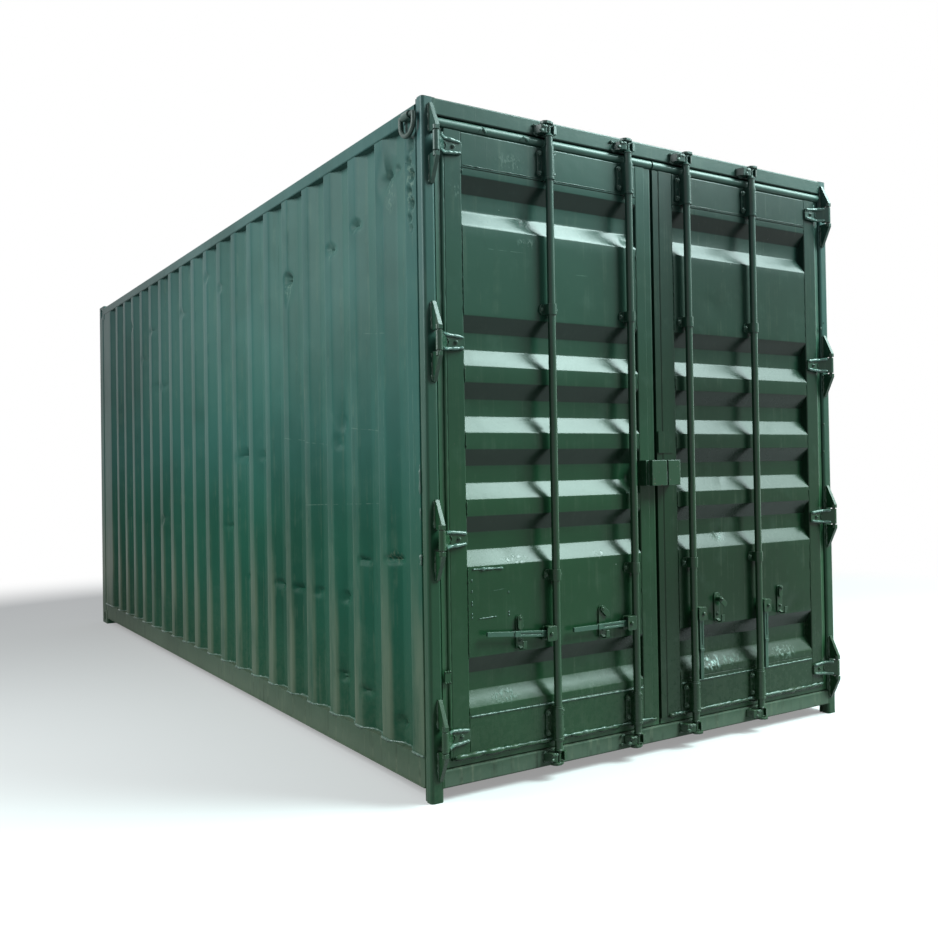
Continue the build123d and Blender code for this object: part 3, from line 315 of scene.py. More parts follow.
class Coat:
    """Paint on steel, put on in layers of colour, roughness and relief."""

    def __init__(self, name, stops, gloss, specular):
        self.material, self.tree, self.surface, self.place = shader(name, gloss, specular=specular)
        self.axes = node(self.tree, "SeparateXYZ", {0: self.place}).outputs
        self.height = self.axes[2]
        self.sideways = sums(self.tree, "ABSOLUTE", self.axes[0])
        self.shape = node(self.tree, "NewGeometry").outputs
        self.broad = cloud(self.tree, self.place, 1.1, 4)
        self.mottle = cloud(self.tree, self.place, 9.0, 5, shift=(3, 1, 2))
        self.speckle = cloud(self.tree, self.place, 38.0, 6, shift=(5, 5, 5), rough=0.7)
        self.colour = tone(self.tree, self.height, stops)
        self.rough = scaled(self.tree, self.broad, 0.1, gloss - 0.05)

    def tint(self, amount, colour, way="MIX"):
        """Mix a colour in by an amount."""
        self.colour = blend(self.tree, amount, self.colour, colour, way)

    def roughen(self, amount, share):
        """Add a share of an amount to the roughness."""
        more = times(self.tree, amount, share)
        self.rough = sums(self.tree, "ADD", self.rough, more, clamp=True)

    def fade(self, flank_light):
        """Broad shade, painted light that makes the outward faces of the sides paler, and chalky patches.
        """
        tree = self.tree
        self.tint(step(tree, self.broad, 0.4, 0.72), SHADED, "MULTIPLY")
        if flank_light:
            outer = step(tree, self.sideways, HALF_WIDTH - 0.005, HALF_WIDTH - 0.001)
            self.tint(outer, flank_light, "MULTIPLY")
        self.tint(times(tree, step(tree, self.mottle, 0.52, 0.85), 0.08), CHALK)

    def streaks(self, strength):
        """Rain streaks of grime and dust. Gives their amount."""
        tree = self.tree
        streak = cloud(tree, self.place, 5.0, 5, stretch=(9, 9, 0.3), rough=0.65)
        streak = times(tree, step(tree, streak, 0.5, 0.74), strength)
        self.tint(streak, blend(tree, step(tree, self.mottle, 0.42, 0.58), GRIME, DUST))
        return streak

    def crests(self, strength):
        """Dust on the low part of a wall's crests, and pale chalk high up between them as a painted
        reflection of the sky on the upper slopes.
        """
        tree = self.tree
        ridge = step(tree, self.sideways, CREST_FACE - 0.014, CREST_FACE - 0.002)
        ridge = times(tree, ridge, step(tree, self.height, 1.1, 0.45))
        patchy = step(tree, cloud(tree, self.place, 3.5, 4, stretch=(1, 3, 0.5)), 0.25, 0.6)
        self.tint(times(tree, times(tree, ridge, patchy), strength), DUST)
        # Pale chalk high up between the crests: painted sky reflection.
        upper_sky_sheen = step(tree, self.sideways, CREST_FACE - 0.001, CREST_FACE - 0.012)
        upper_sky_sheen = times(tree, upper_sky_sheen, step(tree, self.height, 1.3, 2.2))
        self.tint(times(tree, upper_sky_sheen, 0.14), CHALK)

    def dust(self, down_shade, strength):
        """Painted shade on faces that look down, and dust near the ground and on faces that look up."""
        tree = self.tree
        upright = node(tree, "SeparateXYZ", {0: self.shape["Normal"]}).outputs[2]
        self.tint(times(tree, step(tree, upright, -0.15, -0.45), down_shade), DOWNWARD_SHADE)
        low = times(tree, step(tree, self.height, 0.75, 0.05), 0.3)
        settled = sums(tree, "MAXIMUM", low, step(tree, upright, 0.65, 1.0))
        settled = times(tree, settled, step(tree, self.speckle, 0.25, 0.75))
        settled = times(tree, settled, strength)
        self.tint(settled, DUST)
        self.roughen(settled, 0.6)

    def ripples(self, size):
        """Waves in the sheet, brush marks in the paint and its fine grain."""
        tree, place = self.tree, self.place
        waves = times(tree, cloud(tree, place, 4.5, 2, shift=(4, 4, 4)), 1.4 * size)
        waves = sums(tree, "ADD", waves, times(tree, cloud(tree, place, 22.0, 3), 0.3 * size))
        self.raised = sums(tree, "ADD", waves, times(tree, cloud(tree, place, 170.0, 2), 0.06))

    def rub(self, centre, size, strength, colour):
        """A torn patch of another colour round a point."""
        tree = self.tree
        torn = step(tree, cloud(tree, self.place, 75.0, 4, stretch=(1, 1, 0.6)), 0.5, 0.62)
        rubbed = times(tree, near(tree, self.place, centre, size), torn)
        rubbed = times(tree, rubbed, strength)
        self.tint(rubbed, colour)
        self.roughen(rubbed, 0.15)
        self.raised = sums(tree, "ADD", self.raised, times(tree, rubbed, 0.8))

    def scratch(self, axis, level, slant, along, reach, half):
        """A broken pale line at level + slant * run, where run goes along the other axis."""
        tree, run = self.tree, self.axes[along]
        off = sums(tree, "SUBTRACT", self.axes[axis], level)
        off = sums(tree, "SUBTRACT", off, times(tree, run, slant))
        line = step(tree, sums(tree, "ABSOLUTE", off), half, half * 0.3)
        inside = step(tree, run, reach[0], reach[0] + 0.05, "LINEAR")
        outside = step(tree, run, reach[1], reach[1] - 0.05, "LINEAR")
        line = times(tree, line, times(tree, inside, outside))
        broken = step(tree, cloud(tree, self.place, 22.0, 3), 0.4, 0.56)
        self.tint(times(tree, times(tree, line, broken), 0.42), CHALK)

    def wear_and_highlight_edges(self, radius, strength):
        """Soft edges that show pale where the paint is thin, partly wear and partly a painted highlight
        along the edges. Gives the softened normal.
        """
        tree = self.tree
        normal = node(tree, "Bevel", {"Radius": radius}, samples=4).outputs[0]
        pair = {0: normal, 1: self.shape["True Normal"]}
        turn = node(tree, "VectorMath", pair, operation="DOT_PRODUCT").outputs["Value"]
        thin = step(tree, cloud(tree, self.place, 26.0, 4, shift=(2, 6, 1)), 0.42, 0.62)
        edge = times(tree, step(tree, turn, 0.995, 0.86), thin)
        self.tint(times(tree, edge, strength * 0.55), CHALK)
        return normal

    def chips(self, strength):
        """Lost flakes of paint, in some regions only, down to rust and grime."""
        tree, place = self.tree, self.place
        flecks = cloud(tree, place, 55.0, 5, shift=(9, 2, 4), rough=0.6)
        regions = step(tree, cloud(tree, place, 3.0, 2, shift=(1, 8, 3)), 0.45, 0.7)
        lost = step(tree, flecks, 0.735 - 0.05 * strength, 0.755 - 0.05 * strength)
        lost = times(tree, times(tree, lost, regions), strength, clamp=True)
        self.tint(lost, blend(tree, step(tree, self.speckle, 0.4, 0.6), RUST, GRIME))
        self.roughen(lost, 0.4)
        self.raised = sums(tree, "SUBTRACT", self.raised, times(tree, lost, 0.4))

    def splashes(self):
        """Small pale drops, in some of the cells of a loose net."""
        tree = self.tree
        cells = node(tree, "TexVoronoi", {"Vector": self.place, "Scale": 4.0}).outputs
        chosen = node(tree, "SeparateXYZ", {0: cells["Color"]}).outputs[0]
        drop = step(tree, cells["Distance"], 0.011, 0.007)
        drop = times(tree, drop, step(tree, chosen, 0.55, 0.6))
        self.tint(times(tree, drop, 0.7), SPLASH)

    def finish(self, normal):
        """Join colour, roughness and relief to the surface shader."""
        relief = {"Height": self.raised, "Strength": 0.5, "Distance": 0.002}
        if normal is not None:
            relief["Normal"] = normal
        bump = node(self.tree, "Bump", relief).outputs[0]
        self.tree.links.new(self.colour, self.surface.inputs["Base Color"])
        self.tree.links.new(self.rough, self.surface.inputs["Roughness"])
        self.tree.links.new(bump, self.surface.inputs["Normal"])
        return self.material


def paint(
    name, stops, gloss, specular, dusty, worn, streaky,
    marks=(), scratches=(), ripple=1.0, soft=0.0, crest=0.0, down_shade=0.2, flank_light=None,
):
    """Gloss paint on steel: fading, rain streaks, settled dust, worn edges, chips and scuffs, with painted
    shade on faces that look down and painted light on edges, outward side faces and upper wall slopes.
    """
    coat = Coat(name, stops, gloss, specular)
    coat.fade(flank_light)
    streak = coat.streaks(streaky)
    if crest:
        coat.crests(crest)
    coat.dust(down_shade, dusty)
    coat.roughen(streak, 0.2)
    coat.ripples(ripple)
    for mark in marks:
        coat.rub(*mark)
    for line in scratches:
        coat.scratch(*line)
    normal = coat.wear_and_highlight_edges(soft, worn) if soft else None
    coat.chips(worn)
    coat.splashes()
    return coat.finish(normal)


def plywood(name):
    """Worn floor board: long grain along the container, dark bands and dust."""
    material, tree, surface, place = shader(name, 0.6, specular=0.25)
    grain = cloud(tree, place, 14.0, 6, stretch=(1, 0.06, 1), rough=0.6)
    rings = cloud(tree, place, 2.4, 3, stretch=(1, 0.2, 1))
    colour = blend(tree, step(tree, grain, 0.35, 0.7), PLY, PLY_DARK)
    colour = blend(tree, times(tree, step(tree, rings, 0.5, 0.75), 0.5), colour, PLY_DARK)
    worn = step(tree, cloud(tree, place, 1.4, 5), 0.5, 0.8)
    colour = blend(tree, times(tree, worn, 0.5), colour, DUST)
    tree.links.new(colour, surface.inputs["Base Color"])
    tree.links.new(scaled(tree, grain, 0.3, 0.45), surface.inputs["Roughness"])
    bump = node(tree, "Bump", {"Height": grain, "Strength": 0.5, "Distance": 0.0008})
    tree.links.new(bump.outputs[0], surface.inputs["Normal"])
    return material


def underseal(name):
    """Thick dark coating under the floor, mottled with dried mud."""
    material, tree, surface, place = shader(name, 0.75, specular=0.2)
    mud = step(tree, cloud(tree, place, 5.0, 6), 0.5, 0.72)
    colour = blend(tree, times(tree, mud, 0.6), UNDERSEAL, DUST)
    tree.links.new(colour, surface.inputs["Base Color"])
    lumps = cloud(tree, place, 60.0, 4)
    bump = node(tree, "Bump", {"Height": lumps, "Strength": 0.7, "Distance": 0.0015})
    tree.links.new(bump.outputs[0], surface.inputs["Normal"])
    tree.links.new(scaled(tree, lumps, 0.3, 0.55), surface.inputs["Roughness"])
    return material


# Surfaces
def points(x, y, z):
    """Points from their coordinates, each an array or one number for all."""
    return np.stack(np.broadcast_arrays(x, y, z), axis=-1)


def grid_faces(rows, cols):
    """Four-sided faces between the points of a grid, row after row."""
    index = np.arange(rows * cols).reshape(rows, cols)
    corners = (index[:-1, :-1], index[:-1, 1:], index[1:, 1:], index[1:, :-1])
    return np.stack(corners, axis=-1).reshape(-1, 4)


def piece(name, grids, body, material, crease=None):
    """One object from several point grids: doubles merge, shells face outwards, folds stay sharp."""
    corners, faces, start = [], [], 0
    for grid in grids:
        rows, cols = grid.shape[:2]
        corners.append(grid.reshape(-1, 3))
        faces.append(grid_faces(rows, cols) + start)
        start += rows * cols
    mesh = bpy.data.meshes.new(name)
    mesh.from_pydata(np.vstack(corners).tolist(), [], np.vstack(faces).tolist())
    shape = bmesh.new()
    shape.from_mesh(mesh)
    bmesh.ops.remove_doubles(shape, verts=shape.verts, dist=2e-6)
    bmesh.ops.recalc_face_normals(shape, faces=shape.faces)
    shape.to_mesh(mesh)
    shape.free()
    mesh.shade_smooth()
    if crease:
        mesh.set_sharp_from_angle(angle=math.radians(crease))
    mesh.materials.append(material)
    made = placed(name, mesh)
    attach(made, body)
    return made


def shell(face, thick, inward):
    """A sheet as a closed surface: its face, the same moved inwards along its normals, four rims."""
    normal = np.cross(np.gradient(face, axis=1), np.gradient(face, axis=0))
    normal /= np.linalg.norm(normal, axis=2, keepdims=True)
    way = np.sign(normal.mean(axis=(0, 1)) @ np.asarray(inward, float))
    back = face + way * thick * normal
    rims = [np.stack([face[end], back[end]]) for end in (0, -1)]
    rims += [np.stack([face[:, end], back[:, end]]) for end in (0, -1)]
    return [face, back] + rims


def turned(profile, centre, axis, sides=16, flats=0):
    """Turn a profile of (radius, height) pairs about an axis through centre.

    A point is centre + height * axis + radius * (cos a * u + sin a * v). With flats, the radius
    is divided by the cosine of the angle from the middle of its flat, which makes a nut."""
    axis = np.asarray(axis, float) / np.linalg.norm(axis)
    u = np.cross(axis, (0.0, 0.0, 1.0) if abs(axis[2]) < 0.9 else (1.0, 0.0, 0.0))
    u /= np.linalg.norm(u)
    v = np.cross(axis, u)
    angle = np.linspace(0, 2 * np.pi, sides + 1)
    angle[-1] = 0.0
    radius, height = np.asarray(profile, float).T[:, :, None]
    if flats:
        sector = 2 * np.pi / flats
        off = (angle + sector / 2) % sector - sector / 2
        radius = radius / np.cos(off)
    spread = radius[..., None] * (np.cos(angle)[:, None] * u + np.sin(angle)[:, None] * v)
    return np.asarray(centre, float) + height[..., None] * axis + spread


def bolt(centre, axis, size):
    """A nut on a washer with the rounded end of its bolt; size is the nut's half width."""
    washer = np.array([(0, 0), (1.45, 0), (1.45, 0.2), (0, 0.2)])
    nut = np.array([(0, 0.1), (1, 0.1), (1, 0.85), (0.85, 1), (0, 1)])
    end = np.array([(0, 0.5), (0.55, 0.5), (0.55, 1.3), (0.3, 1.5), (0, 1.55)])
    return [
        turned(size * washer, centre, axis, 14),
        turned(size * nut, centre, axis, 12, flats=6),
        turned(size * end, centre, axis, 10),
    ]


def rivet(centre, axis, size):
    """A domed head on a short root: radius is size * cos a, height is 0.6 * size * sin a."""
    lift = np.linspace(0, np.pi / 2, 5)
    dome = [(0, -size * 0.3), (size, -size * 0.3)]
    dome += list(zip(size * np.cos(lift), size * 0.6 * np.sin(lift)))
    dome[-1] = (0, size * 0.6)
    return turned(dome, centre, axis, 14)


def bead(path, radius, out, wobble, spacing=0.004, sides=6):
    """A weld bead along a path, half sunk: radius wavers with seeded ripples and lumps.

    A ring at length s is path(s) + r(s) * (cos a * out + sin a * side), with r = 0 at both ends."""
    path = np.asarray(path, float)
    lengths = np.r_[0, np.cumsum(np.linalg.norm(np.diff(path, axis=0), axis=1))]
    count = max(int(lengths[-1] / spacing), 4)
    s = np.linspace(0, lengths[-1], count)
    line = np.stack([np.interp(s, lengths, path[:, k]) for k in range(3)], axis=1)
    along = np.gradient(line, axis=0)
    along /= np.linalg.norm(along, axis=1)[:, None]
    out = np.asarray(out, float)
    side = np.cross(along, out)
    side /= np.linalg.norm(side, axis=1)[:, None]
    ripple = draw.normal(size=count)
    ripple = np.convolve(ripple, (0.25, 0.5, 0.25), mode="same")
    size = radius * np.clip(1 + wobble * ripple, 0.35, 1.9)
    size[[0, -1]] = 0.0
    angle = np.linspace(0, 2 * np.pi, sides + 1)
    angle[-1] = 0.0
    ring = np.cos(angle)[None, :, None] * out + np.sin(angle)[None, :, None] * side[:, None, :]
    return line[:, None, :] + size[:, None, None] * ring


def lump(centre, size, swell=0.18):
    """A drop of weld or paint: a ball whose radius is 1 + swell * sin(3a + p) * sin(2b + q) * sin a."""
    a = np.linspace(0, np.pi, 7)[:, None]
    b = np.linspace(0, 2 * np.pi, 11)[None, :]
    b[:, -1] = 0.0
    p, q = draw.uniform(0, 6, 2)
    radius = 1 + swell * np.sin(3 * a + p) * np.sin(2 * b + q) * np.sin(a)
    ball = points(np.sin(a) * np.cos(b), np.sin(a) * np.sin(b), np.cos(a))
    return np.asarray(centre, float) + np.asarray(size, float) * radius[..., None] * ball


def plate(low, high, soft=0.0015):
    """A small plate on a door face: the profile of a soft edge carried round a rectangle."""
    low, high = np.asarray(low), np.asarray(high)
    middle, half = (low + high) / 2, (high - low) / 2
    thick = 2 * half[1]
    corner = np.array([(-1, -1), (1, -1), (1, 1), (-1, 1), (-1, -1)], float)
    rows = []
    for inset, out in ((None, 0), (0, 0), (0, thick - soft), (soft, thick), (None, thick)):
        reach = np.zeros(2) if inset is None else half[[0, 2]] - inset
        x, z = (middle[[0, 2]] + corner * reach).T
        rows.append(points(x, high[1] - out, z))
    return np.stack(rows)


def rounded(breaks, depths, width, place):
    """Depth of a folded sheet at each place: the sharp line averaged over the bend's width."""
    offsets = np.linspace(-width / 2, width / 2, 9)
    return np.mean([np.interp(place + o, breaks, depths) for o in offsets], axis=0)


def sample_breaks(breaks, width, extra=(), gap=0.06, points=3, least=0.004):
    """Places where a folded sheet needs points: across each bend, at marks, and along flats."""
    bends = np.asarray(breaks)[1:-1, None] + np.linspace(-width / 2, width / 2, points)[None, :]
    firm = np.r_[breaks[0], bends.ravel(), breaks[-1]]
    loose = np.clip(np.asarray(extra, float).ravel(), breaks[0], breaks[-1])
    loose = loose[[np.abs(firm - place).min() > least for place in loose]]
    loose = np.unique(np.round(loose / least)) * least
    loose = loose[(loose > breaks[0] + least / 2) & (loose < breaks[-1] - least / 2)]
    places = np.unique(np.r_[firm, loose])
    places = places[np.r_[True, np.diff(places) > 0.0012]]
    places[-1] = breaks[-1]
    gaps = np.diff(places)
    wide = np.flatnonzero(gaps > gap)
    fills = [np.linspace(places[i], places[i + 1], int(gaps[i] // gap) + 2)[1:-1] for i in wide]
    return np.unique(np.r_[places, np.concatenate(fills) if fills else []])


def dented(first, second, dents):
    """Push of all dents, each a creased cone: depth * (1 - r) ** 1.3, deeper along one fold."""
    push = np.zeros(np.broadcast(first, second).shape)
    for a, b, half_a, half_b, depth in dents:
        u, v = (first - a) / half_a, (second - b) / half_b
        far = np.sqrt(u * u + v * v)
        fold = 1 + 0.35 * np.cos(2 * np.arctan2(v, u) + 40 * a)
        push += depth * np.clip(1 - far, 0, 1) ** 1.3 * fold
    return push


def corrugated(start, count, lead, tail):
    """Breaks of a wall sheet: crest, slope, trough, slope, as (place, depth) arrays."""
    at = start + np.arange(count)[:, None] * WAVE
    steps = np.cumsum([0, WALL_SLOPE, WALL_TROUGH, WALL_SLOPE])[None, :]
    depth = np.tile([0, WALL_DEEP, WALL_DEEP, 0], count)
    return np.r_[lead, (at + steps).ravel(), tail], np.r_[0, depth, 0]


# Light, floor and camera
def photo_camera():
    """Camera at the photograph's place: its axes are the columns of the turn matrix."""
    data = bpy.data.cameras.new("photo_camera")
    camera = placed("photo_camera", data)
    flat = math.cos(ELEVATION)
    forward = Vector((math.sin(AZIMUTH) * flat, math.cos(AZIMUTH) * flat, math.sin(ELEVATION)))
    level = Vector((math.cos(AZIMUTH), -math.sin(AZIMUTH), 0.0))
    upright = level.cross(forward)
    right = level * math.cos(ROLL) + upright * math.sin(ROLL)
    up = upright * math.cos(ROLL) - level * math.sin(ROLL)
    turn = Matrix((right, up, -forward)).transposed().to_4x4()
    place = Vector(CAMERA_AT) + Vector((0.0, FRONT, 0.0))
    camera.matrix_world = Matrix.Translation(place) @ turn
    data.sensor_width = SENSOR
    data.lens = SENSOR * FOCAL_PX / IMAGE
    data.shift_x = (IMAGE / 2 - MIDDLE_PX[0]) / IMAGE
    data.shift_y = (MIDDLE_PX[1] - IMAGE / 2) / IMAGE
    data.clip_start = 0.05
    data.clip_end = 200.0
    bpy.context.scene.camera = camera


def softbox(name, place, size, power, facing, colour, lean=0.0):
    """A rectangular lamp that faces a direction, leant about it by degrees."""
    data = bpy.data.lights.new(name, "AREA")
    data.shape = "RECTANGLE"
    data.size, data.size_y = size
    data.energy = power
    data.color = colour
    lamp = placed(name, data)
    lamp.location = place
    lamp.visible_camera = False
    upright = Vector(facing).to_track_quat("-Z", "Y")
    lamp.rotation_euler = (upright @ Quaternion((0.0, 0.0, 1.0), math.radians(lean))).to_euler()


def seen_rays(tree):
    """1 for the rays that see the background: camera, gloss and glass."""
    rays = node(tree, "LightPath").outputs
    seen = sums(tree, "MAXIMUM", rays["Is Camera Ray"], rays["Is Glossy Ray"])
    return sums(tree, "MAXIMUM", seen, rays["Is Transmission Ray"])


def pale_floor():
    """Matt pale floor that fades into the white background."""
    material, tree, surface, place = shader("pale_floor", 0.8, specular=0.1)
    seen = seen_rays(tree)
    shade = cloud(tree, place, 0.4, 4)
    colour = blend(tree, times(tree, shade, 0.4), FLOOR_SEEN, FLOOR_SHADE)
    colour = blend(tree, seen, FLOOR_BOUNCE, colour)
    matt = node(tree, "BsdfDiffuse", {"Color": colour})
    away = node(tree, "VectorMath", {0: place}, operation="LENGTH").outputs["Value"]
    fade = sums(tree, "MAXIMUM", step(tree, away, 3.6, 7.5), 0.3)
    glow = node(tree, "Emission", {"Color": (1, 1, 1, 1), "Strength": 1.0})
    shaders = {0: times(tree, fade, seen), 1: matt.outputs[0], 2: glow.outputs[0]}
    mixed = node(tree, "MixShader", shaders).outputs[0]
    tree.links.new(mixed, tree.nodes["Material Output"].inputs["Surface"])
    return material


def studio():
    """White surroundings for the camera and for gloss, plain light for the rest, round floor.

    The floor's points are r * cos a and r * sin a on four rings."""
    world = bpy.data.worlds.new("studio")
    bpy.context.scene.world = world
    world.use_nodes = True
    tree = world.node_tree
    around = blend(tree, seen_rays(tree), SKY, (1, 1, 1, 1))
    tree.links.new(around, tree.nodes["Background"].inputs["Color"])
    key = {"facing": KEY_SLANT, "colour": KEY_COLOUR, "lean": KEY_LEAN}
    softbox("left_leaf_softbox", (5.47, FRONT - 4.52, 8.88), (3.45, 6.8), 2150, **key)
    softbox("right_leaf_softbox", (7.83, FRONT - 3.1, 7.44), (2.75, 5.8), 570, **key)
    softbox("side_softbox", (-4.9, FRONT + 1.4, 3.4), (2.4, 2.8), 210, (3.7, -0.5, -1.6), (0.9, 0.99, 0.99))
    softbox("edge_softbox", (7.0, FRONT - 1.3, 2.6), (1.8, 4.6), 95, (-7.0, 1.3, -1.0), (0.9, 1.0, 1.0))
    angle = np.linspace(0, 2 * np.pi, 65)
    angle[-1] = 0.0
    rings = np.array([0.0, 6.0, 20.0, 60.0])[:, None]
    disc = points(rings * np.cos(angle), rings * np.sin(angle), 0.0)
    mesh = bpy.data.meshes.new("floor")
    mesh.from_pydata(disc.reshape(-1, 3).tolist(), [], grid_faces(*disc.shape[:2]).tolist())
    mesh.materials.append(pale_floor())
    placed("floor", mesh)


photo_camera()
studio()

# Finishes
SLOPE = FRONT + 0.02
# A mark: its centre, half sizes, strength and colour.
leaf_marks = (
    ((-0.86, SLOPE, 0.374), (0.085, 0.05, 0.04), 0.8, CHALK),
    ((0.33, SLOPE, 0.368), (0.075, 0.05, 0.045), 1.0, BARE),
    ((0.45, SLOPE, 0.368), (0.09, 0.05, 0.035), 0.7, CHALK),
    ((0.83, SLOPE, 0.362), (0.11, 0.05, 0.045), 0.8, CHALK),
    ((0.4, SLOPE, 0.972), (0.07, 0.05, 0.035), 0.6, CHALK),
    ((-0.8, SLOPE, 0.936), (0.08, 0.05, 0.025), 0.5, SHADED),
    ((-0.35, SLOPE, 0.932), (0.045, 0.05, 0.025), 0.5, SHADED),
    ((-0.8, FRONT, 2.602), (0.11, 0.05, 0.05), 0.16, CHALK),
    ((-1.079, FRONT, 2.449), (0.04, 0.05, 0.04), 0.22, CHALK),
    ((-0.725, SLOPE, 2.375), (0.05, 0.05, 0.045), 0.6, GRIME),
    ((-0.725, FRONT, 2.27), (0.06, 0.05, 0.03), 0.35, CHALK),
)
# A scratch: axis across, level, slant, axis along, its two ends, half width.
leaf_scratches = (
    (2, 2.235, 0.008, 0, (-0.96, -0.72), 0.0014),
    (2, 2.17, 0.02, 0, (-0.48, -0.38), 0.002),
    (2, 0.9, 0.09, 0, (-0.94, -0.84), 0.0022),
)
wall_scratches = (
    (2, 1.742, 0.1, 1, (-2.6, -2.2), 0.0028),
    (2, 1.64, 0.1, 1, (-1.95, -1.4), 0.0022),
    (2, 1.1, -0.03, 1, (-2.5, -1.7), 0.0024),
    (2, 2.22, 0.12, 1, (-2.68, -2.35), 0.0022),
    (1, FRONT + 0.112, 0.004, 2, (1.2, 1.95), 0.0022),
    (1, FRONT + 0.38, 0.003, 2, (0.9, 1.7), 0.0018),
)
hub_rust = tuple(
    ((side * x, FRONT - 0.03, HUB_LEVEL), (0.022, 0.03, 0.022), 0.5, RUST)
    for side in (-1, 1)
    for x in (ROD_X[0] + 0.06, ROD_X[1] + 0.06)
)
# The chalk marks at the crumple strip and the dents high on the left wall are painted highlights; the last
# mark is dust.
wall_marks_and_glints = (
    ((-1.2, FRONT + 0.112, 2.47), (0.06, 0.045, 0.22), 0.75, CHALK),
    ((-1.19, FRONT + 0.33, 2.5), (0.06, 0.03, 0.11), 0.5, CHALK),
    ((-1.19, FRONT + 1.49, 2.27), (0.06, 0.05, 0.06), 0.55, CHALK),
    ((-1.19, FRONT + 0.93, 2.34), (0.06, 0.04, 0.04), 0.35, CHALK),
    ((-1.19, FRONT + 0.335, 0.95), (0.06, 0.06, 0.04), 0.4, DUST),
)

def leaf_coat(name, stops):
    """The gloss paint of a door leaf."""
    return paint(name, stops, 0.245, 0.2, 0.35, 0.5, 0.1, leaf_marks, leaf_scratches, down_shade=0.72)


# The five numbers of a paint are its roughness, specular, dust, wear and streaks.
materials = {
    "green_body_paint": leaf_coat("green_body_paint", FRONT_TONE),
    FITTING: paint(
        FITTING, FRONT_TONE, 0.24, 0.3, 0.3, 1.0, 0.15,
        hub_rust, ripple=0.6, soft=0.0022,
    ),
    "dusty_green_paint": paint("dusty_green_paint", RAIL_TONE, 0.5, 0.15, 0.55, 0.5, 0.6),
    SEAL: paint(SEAL, SEAL_LIT_TONE, 0.36, 0.3, 0.35, 0.4, 0.15, ripple=1.4),
    "ring_paint": paint("ring_paint", RING_TONE, 0.35, 0.3, 0.3, 1.0, 0.2, soft=0.002),
    "plywood": plywood("plywood"),
    "underside_paint": underseal("underside_paint"),
}
side_paint = paint(
    "green_side_paint", SIDE_TONE, 0.38, 0.06, 0.55, 0.4, 0.18,
    wall_marks_and_glints, wall_scratches, ripple=0.8, crest=0.5, down_shade=0.12,
)
post_paint = paint("green_post_paint", POST_TONE, 0.32, 0.2, 0.4, 0.6, 0.12, flank_light=POST_FLANK_LIGHT)
sill_paint = paint("dusty_sill_paint", SILL_TONE, 0.55, 0.12, 0.55, 0.5, 0.75)
# A darker copy of the leaf paint for the right leaf, as painted shade.
right_shaded_paint = leaf_coat("green_right_leaf_shaded_paint", RIGHT_SHADED_TONE)
handle_sheen_paint = paint("green_handle_sheen_paint", HANDLE_TONE_AND_SHEEN, 0.3, 0.3, 0.3, 1.2, 0.12, soft=0.0022)
# The lock boxes take wider soft edges, whose pale rims are partly a painted highlight.
box_paint = paint("green_lock_box_paint", FRONT_TONE, 0.26, 0.3, 0.3, 1.2, 0.12, soft=0.005)
weld_highlight_paint = paint("green_weld_highlight_paint", WELD_HIGHLIGHT_TONE, 0.26, 0.45, 0.2, 0.6, 0.1)
own_paint = {"door_sill": sill_paint}
for name in ("top_side_rails", "rear_posts", "rear_header", "corner_castings", "roof_sheet"):
    own_paint[name] = side_paint
for part in ("hinge_stile", "lock_stile", "door_rails", "door_panel"):
    own_paint[f"right_{part}"] = right_shaded_paint
for side in ("left", "right"):
    own_paint[f"corner_post_{side}"] = post_paint
    own_paint[f"{side}_lock_box"] = box_paint
    for rod in ROD_NAMES:
        own_paint[f"{side}_{rod}_handle"] = handle_sheen_paint
for entry in frame["record"]["subparts"]:
    mesh = frame["nodes"][entry["node"]].data
    mesh.materials.clear()
    mesh.materials.append(own_paint.get(entry["node"], materials[entry["material_slot"]]))
body_paint = materials["green_body_paint"]
fitting_paint = materials[FITTING]
lit_seal_paint = materials[SEAL]
leaf_paint = {"left_door": body_paint, "right_door": right_shaded_paint}

# Folded skins
# Where a dent needs points, as shares of its half sizes.
SPREAD = np.array([-0.95, -0.6, -0.3, 0.0, 0.3, 0.6, 0.95])
